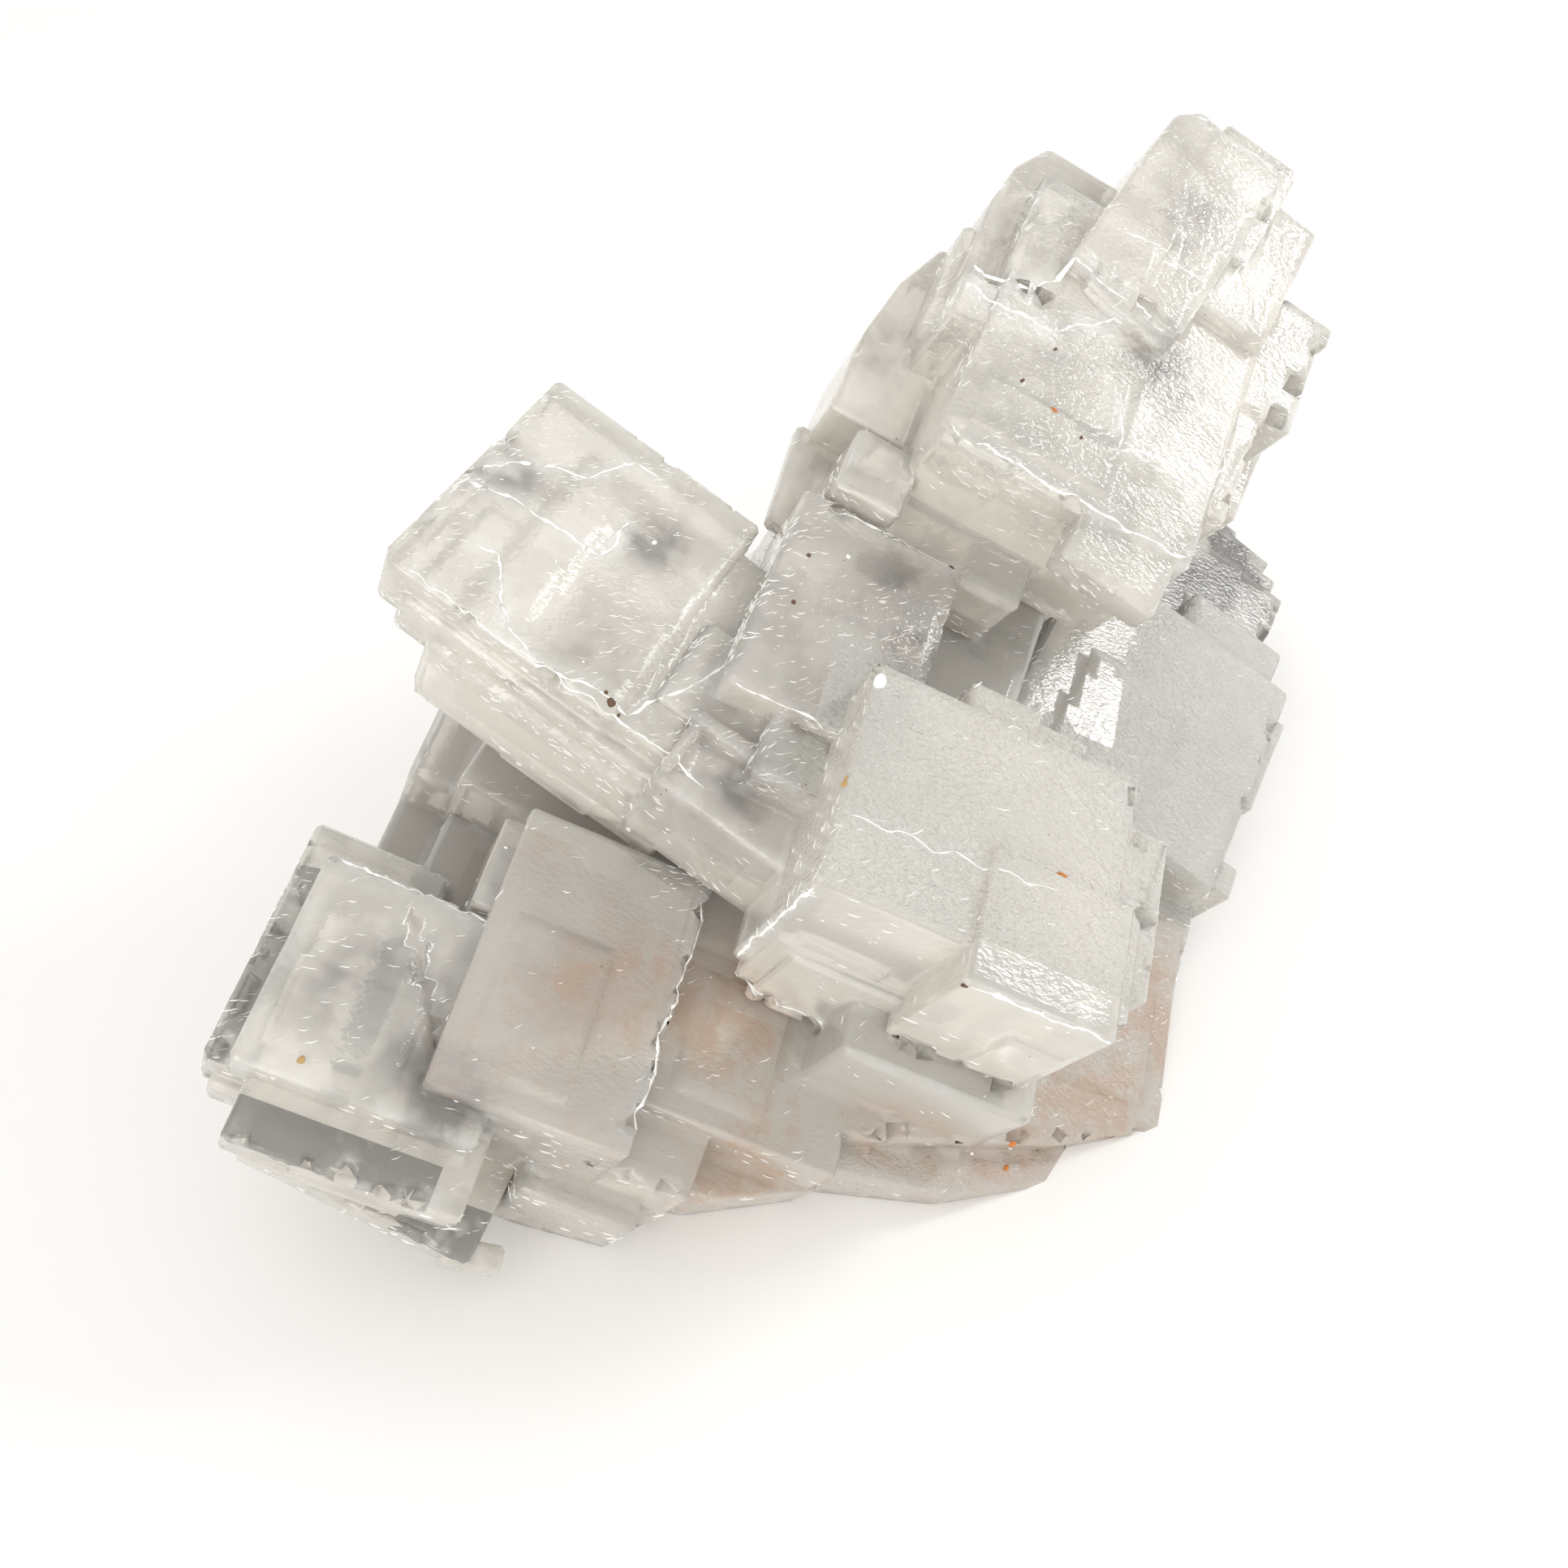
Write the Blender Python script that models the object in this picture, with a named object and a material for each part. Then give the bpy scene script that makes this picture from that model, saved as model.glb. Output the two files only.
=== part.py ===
"""A cluster of intergrown cubic halite crystals, cut flat where it rests.

Every crystal is a prism drawn in a lattice: x runs to the right, y up the slope and z out of the front faces.
The lattices hang on one tilted empty, the prisms are joined into one solid, and the base is cut level.
Lattice sizes are in millimetres; the finished part is in metres.
"""

import math
import random

import bmesh
import bpy
from mathutils import Euler, Matrix, Vector

MM = 0.001

# The near cube drives the cluster: its edge, and how far its top corner stands above the surface.
CUBE = 19.0
CUBE_HIGH = 15.9
CUBE_DEEP = 14.2
REST_DEPTH = 33.4

LATTICE_TILT = (10.6, 24.7, -10.2)
# Worn edges are chamfers of about this width, and each crystal is turned a little out of line, in degrees.
EDGE_WEAR = 0.28
EDGE_WEAR_SPREAD = 0.14
MOSAIC_TURN = 0.5
MOSAIC_LEAN = 0.2

# Growth plates: how far the first one stands proud, how deep it is rooted, its inset and its share of the face.
PLATE_RISE = 0.10
PLATE_ROOT = 2.5
PLATE_INSET = 0.5
PLATE_SHARE = (0.35, 0.68)
FOOT_STEP = 0.6

# Chips: their size, its spread along an edge and the angles that they are tumbled by, in radians.
CHIP = 1.1
CHIP_SPREAD = (0.5, 1.35)
CHIP_TUMBLE = (0.4, 1.2)

WELD = 0.0001
SLAB_WIDTH = 400.0
SLAB_DEPTH = 100.0

HALITE_COLOUR = (0.86, 0.84, 0.80, 1.0)
HALITE_ROUGHNESS = 0.22
HALITE_IOR = 1.544

dice = random.Random(11)


def clear_scene():
    for item in list(bpy.data.objects):
        bpy.data.objects.remove(item, do_unlink=True)


def halite_material():
    material = bpy.data.materials.new("halite")
    material.use_nodes = True
    shader = material.node_tree.nodes["Principled BSDF"]
    shader.inputs["Base Color"].default_value = HALITE_COLOUR
    shader.inputs["Roughness"].default_value = HALITE_ROUGHNESS
    shader.inputs["Metallic"].default_value = 0.0
    shader.inputs["IOR"].default_value = HALITE_IOR
    shader.inputs["Transmission Weight"].default_value = 0.6
    return material


def lattice(name, parent, at=(0.0, 0.0, 0.0), turn=0.0, pitch=0.0):
    """An empty whose axes are a crystal group's own, turned about z and then pitched about x."""
    frame = bpy.data.objects.new(name, None)
    bpy.context.collection.objects.link(frame)
    frame.parent = parent
    frame.location = Vector(at) * MM
    spin = Matrix.Rotation(math.radians(pitch), 3, "X") @ Matrix.Rotation(math.radians(turn), 3, "Z")
    frame.rotation_euler = spin.to_euler()
    return frame


def prism(name, frame, outline, front, back, turn=0.0):
    """One crystal: a closed outline at its front face, carried back along z, with worn edges."""
    middle = sum((Vector((x, y, 0.0)) for x, y in outline), Vector()) / len(outline)
    shape = bmesh.new()
    corners = [shape.verts.new(((x - middle.x) * MM, (y - middle.y) * MM, back * MM)) for x, y in outline]
    face = shape.faces.new(corners)
    grown = bmesh.ops.extrude_face_region(shape, geom=[face])
    lifted = [item for item in grown["geom"] if isinstance(item, bmesh.types.BMVert)]
    bmesh.ops.translate(shape, verts=lifted, vec=(0.0, 0.0, (front - back) * MM))
    bmesh.ops.recalc_face_normals(shape, faces=shape.faces)
    wear = EDGE_WEAR + dice.uniform(-EDGE_WEAR_SPREAD, EDGE_WEAR_SPREAD)
    bmesh.ops.bevel(shape, geom=list(shape.edges), offset=wear * MM, segments=1, affect="EDGES")
    mesh = bpy.data.meshes.new(name)
    shape.to_mesh(mesh)
    shape.free()
    crystal = bpy.data.objects.new(name, mesh)
    crystals.objects.link(crystal)
    crystal.parent = frame
    crystal.location = (middle.x * MM, middle.y * MM, 0.0)
    lean_x = math.radians(dice.uniform(-MOSAIC_LEAN, MOSAIC_LEAN))
    lean_y = math.radians(dice.uniform(-MOSAIC_LEAN, MOSAIC_LEAN))
    spin = math.radians(turn + dice.uniform(-MOSAIC_TURN, MOSAIC_TURN))
    crystal.rotation_euler = (lean_x, lean_y, spin)
    crystal.display_type = "WIRE"
    crystal.hide_render = True
    return crystal


def block(name, frame, left, right, low, high, front, back, turn=0.0):
    outline = [(left, low), (right, low), (right, high), (left, high)]
    return prism(name, frame, outline, front, back, turn)


def front_plates(name, frame, left, right, low, high, front, count, turn=0.0):
    """Thin growth plates on a front face, each anchored near one of the face's corners."""
    for number in range(count):
        rise = PLATE_RISE * (1 + number)
        inset = PLATE_INSET * (1 + number)
        span = (right - left) * dice.uniform(*PLATE_SHARE)
        reach = (high - low) * dice.uniform(*PLATE_SHARE)
        x = left + inset if number % 2 else right - inset - span
        y = low + inset if number % 3 else high - inset - reach
        root = front - PLATE_ROOT
        block(f"{name}_plate_{number}", frame, x, x + span, y, y + reach, front + rise, root, turn)


def foot_plates(name, frame, left, right, low, front, back, count):
    """Thin growth plates on a lower face, stepping down toward the back."""
    for number in range(count):
        drop = PLATE_RISE * (2 + number)
        start = front - (front - back) * dice.uniform(*PLATE_SHARE)
        span = (right - left) * dice.uniform(*PLATE_SHARE)
        x = left + (right - left - span) * dice.random()
        end = back + FOOT_STEP * number
        block(f"{name}_foot_{number}", frame, x, x + span, low - drop, low + PLATE_ROOT, start, end)


def chip(frame, x, y, z, size):
    """A small tumbled cube that takes a bite out of an edge or a corner."""
    shape = bmesh.new()
    bmesh.ops.create_cube(shape, size=size * MM)
    mesh = bpy.data.meshes.new("chip")
    shape.to_mesh(mesh)
    shape.free()
    bite = bpy.data.objects.new("chip", mesh)
    chips.objects.link(bite)
    bite.parent = frame
    bite.location = Vector((x, y, z)) * MM
    bite.rotation_euler = [dice.uniform(*CHIP_TUMBLE) for _ in range(3)]
    bite.display_type = "WIRE"
    bite.hide_render = True


def chipped_edge(frame, start, end, count):
    """Chips at uneven steps along an edge, from corner to corner."""
    for number in range(count):
        along = (number + dice.random()) / count
        place = Vector(start).lerp(Vector(end), along)
        chip(frame, place.x, place.y, place.z, CHIP * dice.uniform(*CHIP_SPREAD))


def near_cube(frame):
    """The cube that stands nearest the front corner, with its ledges and the terraces behind its foot."""
    block("near", frame, 0.0, CUBE, -CUBE_HIGH, 0.0, 0.0, -CUBE_DEEP)
    block("near_ledge_a", frame, 6.6, 11.8, -5.0, 2.2, -0.4, -12.6)
    block("near_ledge_b", frame, 11.3, 15.6, -5.5, 1.7, -0.8, -13.3)
    block("near_ledge_c", frame, 15.0, 19.3, -6.0, 0.7, -0.5, -12.0)
    block("near_right", frame, 13.5, 22.2, -14.6, -2.8, -0.5, -13.0)
    block("near_right_low", frame, 14.0, 20.8, -16.6, -8.0, -0.2, -12.0)
    block("near_low", frame, 10.0, 19.9, -18.2, -9.0, 0.3, -10.8)
    block("near_terrace_a", frame, 0.9, 18.0, -16.2, -1.0, -8.0, -16.1)
    block("near_terrace_b", frame, 2.4, 18.0, -16.7, -2.0, -9.0, -17.8)
    block("near_foot", frame, 7.8, 21.4, -20.2, -10.0, -11.0, -19.8)
    front_plates("near", frame, 5.0, CUBE, -14.0, -1.0, 0.0, 1)
    foot_plates("near", frame, 0.8, 10.0, -CUBE_HIGH, 0.0, -CUBE_DEEP, 2)
    foot_plates("near_low", frame, 10.4, 19.6, -18.2, 0.3, -10.6, 1)
    chipped_edge(frame, (CUBE, -1.0, 0.0), (CUBE + 3.2, -13.0, -0.5), 5)
    chipped_edge(frame, (0.0, 0.0, 0.0), (0.0, -1.0, -0.5), 2)
    chipped_edge(frame, (1.2, -16.5, -16.6), (8.0, -16.6, -17.2), 3)
    chipped_edge(frame, (10.0, -18.2, -10.6), (19.6, -18.2, -10.6), 4)
    chipped_edge(frame, (20.6, -16.4, -0.4), (19.9, -18.2, -2.0), 2)


def west_cube(frame):
    """The large turned cube on the left, with the hopper crystal at its lower right corner."""
    block("west", frame, 0.0, 17.0, -19.6, 0.0, 0.0, -4.8)
    block("west_plate", frame, -0.3, 12.0, -18.9, -7.2, -0.5, -4.2)
    block("west_sill", frame, 1.8, 24.0, -20.1, -10.0, -2.2, -6.0)
    block("west_right", frame, 8.0, 26.5, -19.3, -2.4, -0.5, -9.6)
    block("west_back", frame, 4.4, 24.0, -20.5, -1.5, -4.0, -10.7)
    block("west_step", frame, 18.0, 32.0, -16.4, -9.0, 0.2, -8.0)
    block("hopper", frame, 20.9, 33.0, -20.9, -15.4, -0.5, -8.4)
    block("hopper_rim_top", frame, 20.9, 27.8, -16.4, -15.2, 0.6, -4.0)
    block("hopper_rim_side", frame, 20.9, 21.7, -20.4, -15.6, 0.3, -4.0)
    front_plates("west", frame, 0.2, 17.0, -19.0, -0.6, 0.0, 2)
    foot_plates("west", frame, 4.0, 24.0, -20.5, -5.0, -10.7, 2)
    chipped_edge(frame, (-0.2, -6.0, 0.0), (-0.2, -19.0, 0.0), 4)
    chipped_edge(frame, (2.0, -19.8, 0.0), (20.0, -19.8, -1.0), 5)
    chipped_edge(frame, (3.0, 0.0, 0.0), (16.0, 0.0, 0.0), 3)
    chipped_edge(frame, (4.4, -20.5, -10.0), (4.4, -18.0, -10.7), 2)


def bridge(frame):
    """The crystals between the large cubes."""
    block("bridge", frame, -7.5, 4.9, -3.5, 13.6, -4.0, -19.0, turn=-4.0)
    block("bridge_crown", frame, -5.6, 3.6, 8.0, 14.8, -5.0, -19.5, turn=-2.0)
    block("bridge_low", frame, -4.0, 2.0, -8.0, 2.0, -5.2, -17.0, turn=-6.0)
    block("notch_prism", frame, -8.2, -3.4, 13.4, 22.9, -8.0, -9.7, turn=1.0)
    block("notch_prism_root", frame, -6.4, -1.0, 15.0, 22.0, -8.8, -14.0)
    block("valley", frame, 6.4, 15.0, 5.0, 21.0, -12.0, -26.0, turn=-6.0)
    block("valley_floor", frame, 2.0, 17.0, -2.0, 16.0, -15.0, -30.0)
    front_plates("bridge", frame, -7.2, 4.6, -3.0, 13.0, -4.0, 1, turn=-4.0)
    chipped_edge(frame, (-7.6, 13.2, -4.0), (4.6, 13.6, -4.0), 3)
    chipped_edge(frame, (5.4, 12.6, -4.0), (4.4, -1.0, -4.0), 3)


def tower(frame):
    """The tower at the back, drawn in its own lattice, which leans forward out of the main one."""
    block("tower", frame, 0.0, 19.5, 0.0, 23.4, 0.0, -14.0)
    block("tower_left", frame, -2.5, 9.0, 9.0, 13.6, -0.4, -12.0, turn=2.0)
    block("tower_right_a", frame, 10.0, 21.3, 5.4, 21.0, -0.5, -13.0, turn=-2.0)
    block("tower_right_b", frame, 12.0, 23.7, 14.6, 24.7, -0.3, -13.5, turn=-1.0)
    block("tower_corner", frame, 20.0, 24.5, 23.4, 25.3, -0.5, -3.0, turn=-4.0)
    block("tower_skirt", frame, 11.2, 18.8, -4.0, 6.0, -0.2, -2.8, turn=-6.0)
    crown_outline = [(-2.6, 11.0), (13.0, 11.0), (13.0, 28.4), (0.0, 28.2), (-1.8, 25.2), (-2.4, 21.6)]
    prism("tower_crown", frame, crown_outline, -3.0, -12.0)
    block("tower_crown_side", frame, -3.3, 6.0, 10.0, 19.0, -3.6, -11.0, turn=1.0)
    spire_outline = [(5.2, 15.6), (14.6, 15.6), (14.6, 33.0), (6.8, 33.2), (5.4, 31.4)]
    prism("spire", frame, spire_outline, 2.0, -7.0, turn=-11.0)
    block("spire_tip", frame, 10.2, 16.3, 24.0, 33.6, 1.6, -5.0, turn=-8.0)
    block("spire_shoulder", frame, 10.5, 16.7, 27.0, 34.7, 1.2, -5.0, turn=-3.0)
    block("spire_knee", frame, 6.0, 13.4, 14.6, 24.0, 1.2, -5.0, turn=-13.0)
    block("spire_side", frame, 12.4, 19.6, 19.0, 31.0, 0.9, -8.0, turn=-6.0)
    wing_outline = [(-6.2, 2.8), (4.0, 2.8), (4.0, 19.6), (-3.6, 19.6), (-5.4, 15.0), (-6.2, 10.0)]
    prism("wing", frame, wing_outline, -8.0, -17.0)
    block("tower_heart", frame, 1.5, 18.0, 3.0, 22.0, -12.0, -23.0, turn=2.0)
    block("tower_heel", frame, 3.5, 15.0, 10.0, 26.5, -11.0, -19.0, turn=-3.0)
    block("under_step", frame, -4.0, 1.0, -3.6, 1.5, -6.0, -14.0)
    block("under_floor", frame, -2.0, 12.0, -4.0, 4.0, -8.4, -17.0)
    block("side_stub", frame, 14.0, 24.6, 10.5, 17.4, -6.0, -15.0, turn=-4.0)
    front_plates("tower", frame, 0.4, 19.0, 0.6, 12.6, 0.0, 2)
    front_plates("spire", frame, 5.6, 13.6, 16.4, 31.0, 2.0, 2, turn=-11.0)
    foot_plates("tower", frame, 0.6, 11.0, 0.0, 0.0, -5.8, 1)
    chipped_edge(frame, (0.2, 0.0, 0.0), (11.0, 0.0, 0.0), 3)
    chipped_edge(frame, (20.6, 6.0, -0.4), (23.6, 23.0, -0.3), 6)
    chipped_edge(frame, (-2.4, 13.4, -0.4), (3.4, 13.6, -0.4), 4)
    chipped_edge(frame, (3.7, 16.6, 2.0), (12.8, 14.9, 2.0), 4)
    chipped_edge(frame, (13.2, 17.0, 2.0), (16.0, 31.0, 2.0), 4)
    chipped_edge(frame, (9.4, 33.4, 2.0), (16.2, 33.4, 1.6), 2)


def east_cube(frame):
    """The large cube on the right, half behind the near one, and the smaller ones that grew on it."""
    block("east", frame, 0.0, 21.3, -19.2, 3.8, 0.0, -17.0)
    block("east_side", frame, 10.0, 22.2, -9.0, 1.2, -0.8, -14.0)
    block("east_toe", frame, 12.0, 23.0, -18.6, -15.4, -0.4, -12.0, turn=3.0)
    block("east_shelf", frame, 6.0, 18.2, 0.0, 15.0, -2.0, -16.0, turn=1.0)
    block("east_shelf_top", frame, 7.5, 15.3, 8.0, 18.6, -2.2, -15.0, turn=-2.0)
    block("east_shelf_peak", frame, 7.0, 11.6, 10.0, 19.8, -2.6, -14.0, turn=-3.0)
    block("east_shelf_lip", frame, 9.0, 16.9, 8.0, 17.0, -2.3, -14.0, turn=-1.0)
    block("east_upper", frame, 10.0, 19.5, 0.0, 7.8, -0.5, -13.0)
    front_plates("east", frame, 3.0, 21.0, -19.0, 3.4, 0.0, 2)
    chipped_edge(frame, (20.8, 3.0, 0.0), (21.6, -19.0, 0.0), 6)
    chipped_edge(frame, (18.0, 4.0, -2.0), (17.8, 14.0, -2.0), 3)


def south_row(frame):
    """The row of crystals along the front left, stepping down to the corner."""
    block("corner", frame, -25.6, -10.4, -31.9, -17.9, -18.0, -22.0)
    block("corner_sill", frame, -24.4, -9.6, -35.6, -20.0, -20.6, -24.0)
    block("corner_left", frame, -27.5, -18.0, -30.7, -13.8, -24.0, -30.0)
    block("corner_base", frame, -22.6, -6.4, -35.5, -20.0, -27.8, -31.0, turn=-6.0)
    block("corner_spur", frame, -9.0, -5.0, -36.4, -34.6, -28.6, -31.0, turn=8.0)
    block("corner_base_left", frame, -26.7, -14.0, -31.4, -18.0, -28.2, -31.6)
    block("middle", frame, -15.0, -2.0, -29.8, -10.4, -16.0, -28.0)
    block("middle_left", frame, -16.4, -12.0, -17.6, -11.2, -17.4, -26.0)
    block("middle_toe", frame, -4.2, 3.5, -29.7, -24.3, -20.0, -31.0, turn=-3.0)
    block("middle_foot", frame, -6.4, 1.8, -31.8, -25.0, -24.4, -34.0, turn=-1.0)
    block("inner", frame, -3.0, 12.0, -25.6, -8.0, -18.3, -32.0)
    inner_foot_outline = [(-2.4, -28.2), (5.6, -28.4), (12.4, -25.4), (12.4, -18.0), (-2.4, -18.0)]
    prism("inner_foot", frame, inner_foot_outline, -22.6, -34.0)
    block("gap_upper", frame, -23.4, -12.0, -7.4, 4.0, -25.0, -40.0)
    block("gap_lower", frame, -23.5, -12.0, -13.0, -5.9, -29.0, -42.0)
    front_plates("corner", frame, -25.2, -11.0, -31.4, -18.4, -18.0, 2)
    front_plates("middle", frame, -14.6, -2.4, -29.4, -10.8, -16.0, 2)
    front_plates("inner", frame, -1.6, 11.6, -25.2, -10.0, -18.3, 2)
    foot_plates("corner", frame, -24.0, -10.0, -35.6, -20.6, -24.0, 2)
    chipped_edge(frame, (-25.4, -17.9, -18.0), (-16.0, -17.9, -18.0), 4)
    chipped_edge(frame, (-2.0, -12.0, -16.0), (-2.0, -28.0, -16.0), 7)
    chipped_edge(frame, (-23.0, -34.8, -27.8), (-8.0, -36.4, -27.8), 5)
    chipped_edge(frame, (-24.0, -35.4, -20.8), (-10.0, -35.6, -20.8), 5)
    chipped_edge(frame, (-4.0, -29.6, -20.0), (3.4, -30.0, -20.0), 3)
    chipped_edge(frame, (12.0, -10.0, -18.3), (12.0, -25.0, -18.3), 2)
    chipped_edge(frame, (-27.4, -15.0, -24.0), (-27.6, -30.0, -24.0), 5)


def base_block(frame):
    """The stained block under the near cube, broken along its foot."""
    outline = [(9.0, -22.4), (13.0, -22.4), (27.0, -17.6), (35.4, -13.4), (35.2, -2.0), (36.2, 6.2), (9.0, 6.2)]
    prism("base", frame, outline, -18.5, -27.0)
    foot = [(8.0, -24.4), (13.0, -24.6), (21.2, -23.3), (29.6, -19.2), (35.5, -13.4), (34.8, 4.0), (8.0, 4.0)]
    prism("base_foot", frame, foot, -20.6, -34.0)
    front_plates("base", frame, 20.0, 35.0, -14.0, 5.0, -18.5, 3)
    chipped_edge(frame, (12.0, -22.4, -18.5), (34.0, -14.4, -18.5), 7)
    chipped_edge(frame, (35.4, -12.0, -18.5), (36.0, 5.0, -18.5), 4)


def roots(frame):
    """The crystals underneath that carry the rest down to the surface."""
    block("root_west", frame, -19.0, -2.0, -9.0, 9.0, -22.0, -56.0, turn=-8.0)
    block("root_middle", frame, -8.0, 16.0, -14.0, 14.0, -18.0, -52.0, turn=2.0)
    block("root_south", frame, -20.0, 4.0, -27.0, -8.0, -27.0, -54.0, turn=-1.0)
    block("root_tower", frame, 0.0, 20.0, 12.0, 40.0, -16.0, -52.0, turn=-5.0)
    block("root_east", frame, 14.0, 34.0, -4.0, 27.0, -22.0, -46.0, turn=-12.0)


def back_steps(frame):
    """Smaller crystals that step down the far side, out of sight from the front."""
    block("back_west_a", frame, -22.0, -9.0, -5.0, 5.0, -31.0, -58.0, turn=-6.0)
    block("back_west_b", frame, -15.0, -1.0, 1.0, 12.0, -36.0, -58.0, turn=-9.0)
    block("back_west_c", frame, -11.0, -5.0, 7.0, 14.5, -42.0, -58.0, turn=-9.0)
    block("back_west_d", frame, -23.0, -12.0, -14.0, -2.0, -38.0, -58.0, turn=-2.0)
    block("back_tower_a", frame, -3.0, 9.0, 21.0, 41.5, -30.0, -58.0, turn=-3.0)
    block("back_tower_b", frame, 7.0, 22.5, 25.0, 38.0, -25.0, -58.0, turn=-6.0)
    block("back_tower_c", frame, 2.0, 10.0, 30.0, 44.0, -37.0, -60.0, turn=-4.0)
    block("back_tower_d", frame, 12.0, 18.0, 31.0, 42.5, -33.0, -60.0, turn=-7.0)
    block("back_tower_e", frame, -6.0, 2.0, 17.0, 31.0, -40.0, -60.0, turn=-2.0)
    block("back_east_a", frame, 20.0, 36.0, 9.0, 23.0, -29.0, -50.0, turn=-10.0)
    block("back_east_b", frame, 22.0, 31.0, 15.0, 30.0, -26.5, -50.0, turn=-13.0)
    block("back_east_c", frame, 28.0, 37.0, -2.0, 12.0, -31.0, -50.0, turn=-12.0)


def surface_cutter():
    """A slab whose top is the surface level, which trims the base flat."""
    shape = bmesh.new()
    bmesh.ops.create_cube(shape, size=1.0)
    bmesh.ops.scale(shape, verts=shape.verts, vec=Vector((SLAB_WIDTH, SLAB_WIDTH, SLAB_DEPTH)) * MM)
    bmesh.ops.translate(shape, verts=shape.verts, vec=(0.0, 0.0, -SLAB_DEPTH * MM / 2.0))
    mesh = bpy.data.meshes.new("surface_cutter")
    shape.to_mesh(mesh)
    shape.free()
    slab = bpy.data.objects.new("surface_cutter", mesh)
    bpy.context.collection.objects.link(slab)
    slab.display_type = "WIRE"
    slab.hide_render = True
    return slab


def join_crystals(seed, material):
    """One solid from every crystal, trimmed level with the surface."""
    cluster = bpy.data.objects.new("halite_cluster", seed.data.copy())
    bpy.context.collection.objects.link(cluster)
    cluster.matrix_world = seed.matrix_world.copy()
    cluster.data.transform(cluster.matrix_world)
    cluster.matrix_world = Matrix.Identity(4)
    crystals.objects.unlink(seed)
    bpy.data.objects.remove(seed, do_unlink=True)
    cluster.data.materials.append(material)
    union = cluster.modifiers.new("grown together", "BOOLEAN")
    union.operation = "UNION"
    union.operand_type = "COLLECTION"
    union.collection = crystals
    union.solver = "EXACT"
    bites = cluster.modifiers.new("chipped edges", "BOOLEAN")
    bites.operation = "DIFFERENCE"
    bites.operand_type = "COLLECTION"
    bites.collection = chips
    bites.solver = "EXACT"
    trim = cluster.modifiers.new("level base", "BOOLEAN")
    trim.operation = "DIFFERENCE"
    trim.object = surface_cutter()
    trim.solver = "EXACT"
    return cluster


def faces_joined_to(start):
    """Every face that can be reached from one face across shared edges."""
    reached = {start}
    waiting = [start]
    while waiting:
        face = waiting.pop()
        for edge in face.edges:
            for neighbour in edge.link_faces:
                if neighbour not in reached:
                    reached.add(neighbour)
                    waiting.append(neighbour)
    return reached


def keep_outer_shell(cluster):
    """Applies the joins and fills the pockets that the crystals closed in between them."""
    graph = bpy.context.evaluated_depsgraph_get()
    joined = bpy.data.meshes.new_from_object(cluster.evaluated_get(graph))
    cluster.modifiers.clear()
    shape = bmesh.new()
    shape.from_mesh(joined)
    bmesh.ops.remove_doubles(shape, verts=shape.verts, dist=WELD * MM)
    lowest = min(shape.faces, key=lambda face: face.calc_center_median().z)
    outer = faces_joined_to(lowest)
    pockets = [face for face in shape.faces if face not in outer]
    bmesh.ops.delete(shape, geom=pockets, context="FACES")
    shape.to_mesh(joined)
    shape.free()
    cluster.data = joined


def centre_on_base(cluster, specimen):
    """Stands the cluster's bounding box centred on the origin, and takes its lattices along."""
    shift = Vector((0.0, 0.0, 0.0))
    for axis in (0, 1):
        values = [vertex.co[axis] for vertex in cluster.data.vertices]
        shift[axis] = -(min(values) + max(values)) / 2.0
    cluster.data.transform(Matrix.Translation(shift))
    specimen.location += shift


clear_scene()
crystals = bpy.data.collections.new("crystals")
chips = bpy.data.collections.new("chips")
for group in (crystals, chips):
    bpy.context.scene.collection.children.link(group)

specimen = lattice("specimen", None, at=(0.0, 0.0, REST_DEPTH))
specimen.rotation_euler = Euler([math.radians(angle) for angle in LATTICE_TILT], "XYZ")
main_lattice = lattice("main_lattice", specimen)
west_lattice = lattice("west_lattice", specimen, at=(-24.9, 15.6, -7.0), turn=-14.0)
tower_lattice = lattice("tower_lattice", specimen, at=(-1.3, 15.9, 4.0), turn=-3.0, pitch=12.0)
east_lattice = lattice("east_lattice", specimen, at=(19.0, 28.6, -15.0), turn=-14.0)

near_cube(main_lattice)
west_cube(west_lattice)
bridge(main_lattice)
tower(tower_lattice)
east_cube(east_lattice)
south_row(main_lattice)
base_block(main_lattice)
roots(main_lattice)
back_steps(main_lattice)
bpy.context.view_layer.update()

cluster = join_crystals(crystals.objects["near"], halite_material())
bpy.context.view_layer.update()
keep_outer_shell(cluster)
centre_on_base(cluster, specimen)
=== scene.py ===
"""Looks of the halite cluster: growth relief, haze, scratches, clay stains, rust grains and the light stage.

Run it as a script with Blender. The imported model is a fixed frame, and every piece here is fitted to it.
"""

import math
from collections import namedtuple

import bmesh
import bpy
import numpy as np
from bpy.props import FloatProperty, FloatVectorProperty, IntProperty, PointerProperty
from mathutils import Matrix, Vector, kdtree, noise


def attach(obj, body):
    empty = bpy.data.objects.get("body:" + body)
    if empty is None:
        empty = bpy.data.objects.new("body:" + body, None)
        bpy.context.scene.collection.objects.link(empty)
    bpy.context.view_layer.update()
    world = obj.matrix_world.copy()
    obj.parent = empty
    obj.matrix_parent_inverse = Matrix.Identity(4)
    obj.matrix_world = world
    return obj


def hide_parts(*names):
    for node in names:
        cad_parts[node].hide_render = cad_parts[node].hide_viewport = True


bl_info = {
    "name": "Halite cluster",
    "version": (1, 0, 0),
    "blender": (4, 5, 0),
    "location": "View3D > Sidebar > Halite",
    "description": "Gives the packed halite cluster its finish, its grains and a small studio",
    "category": "Add Mesh",
}

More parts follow.
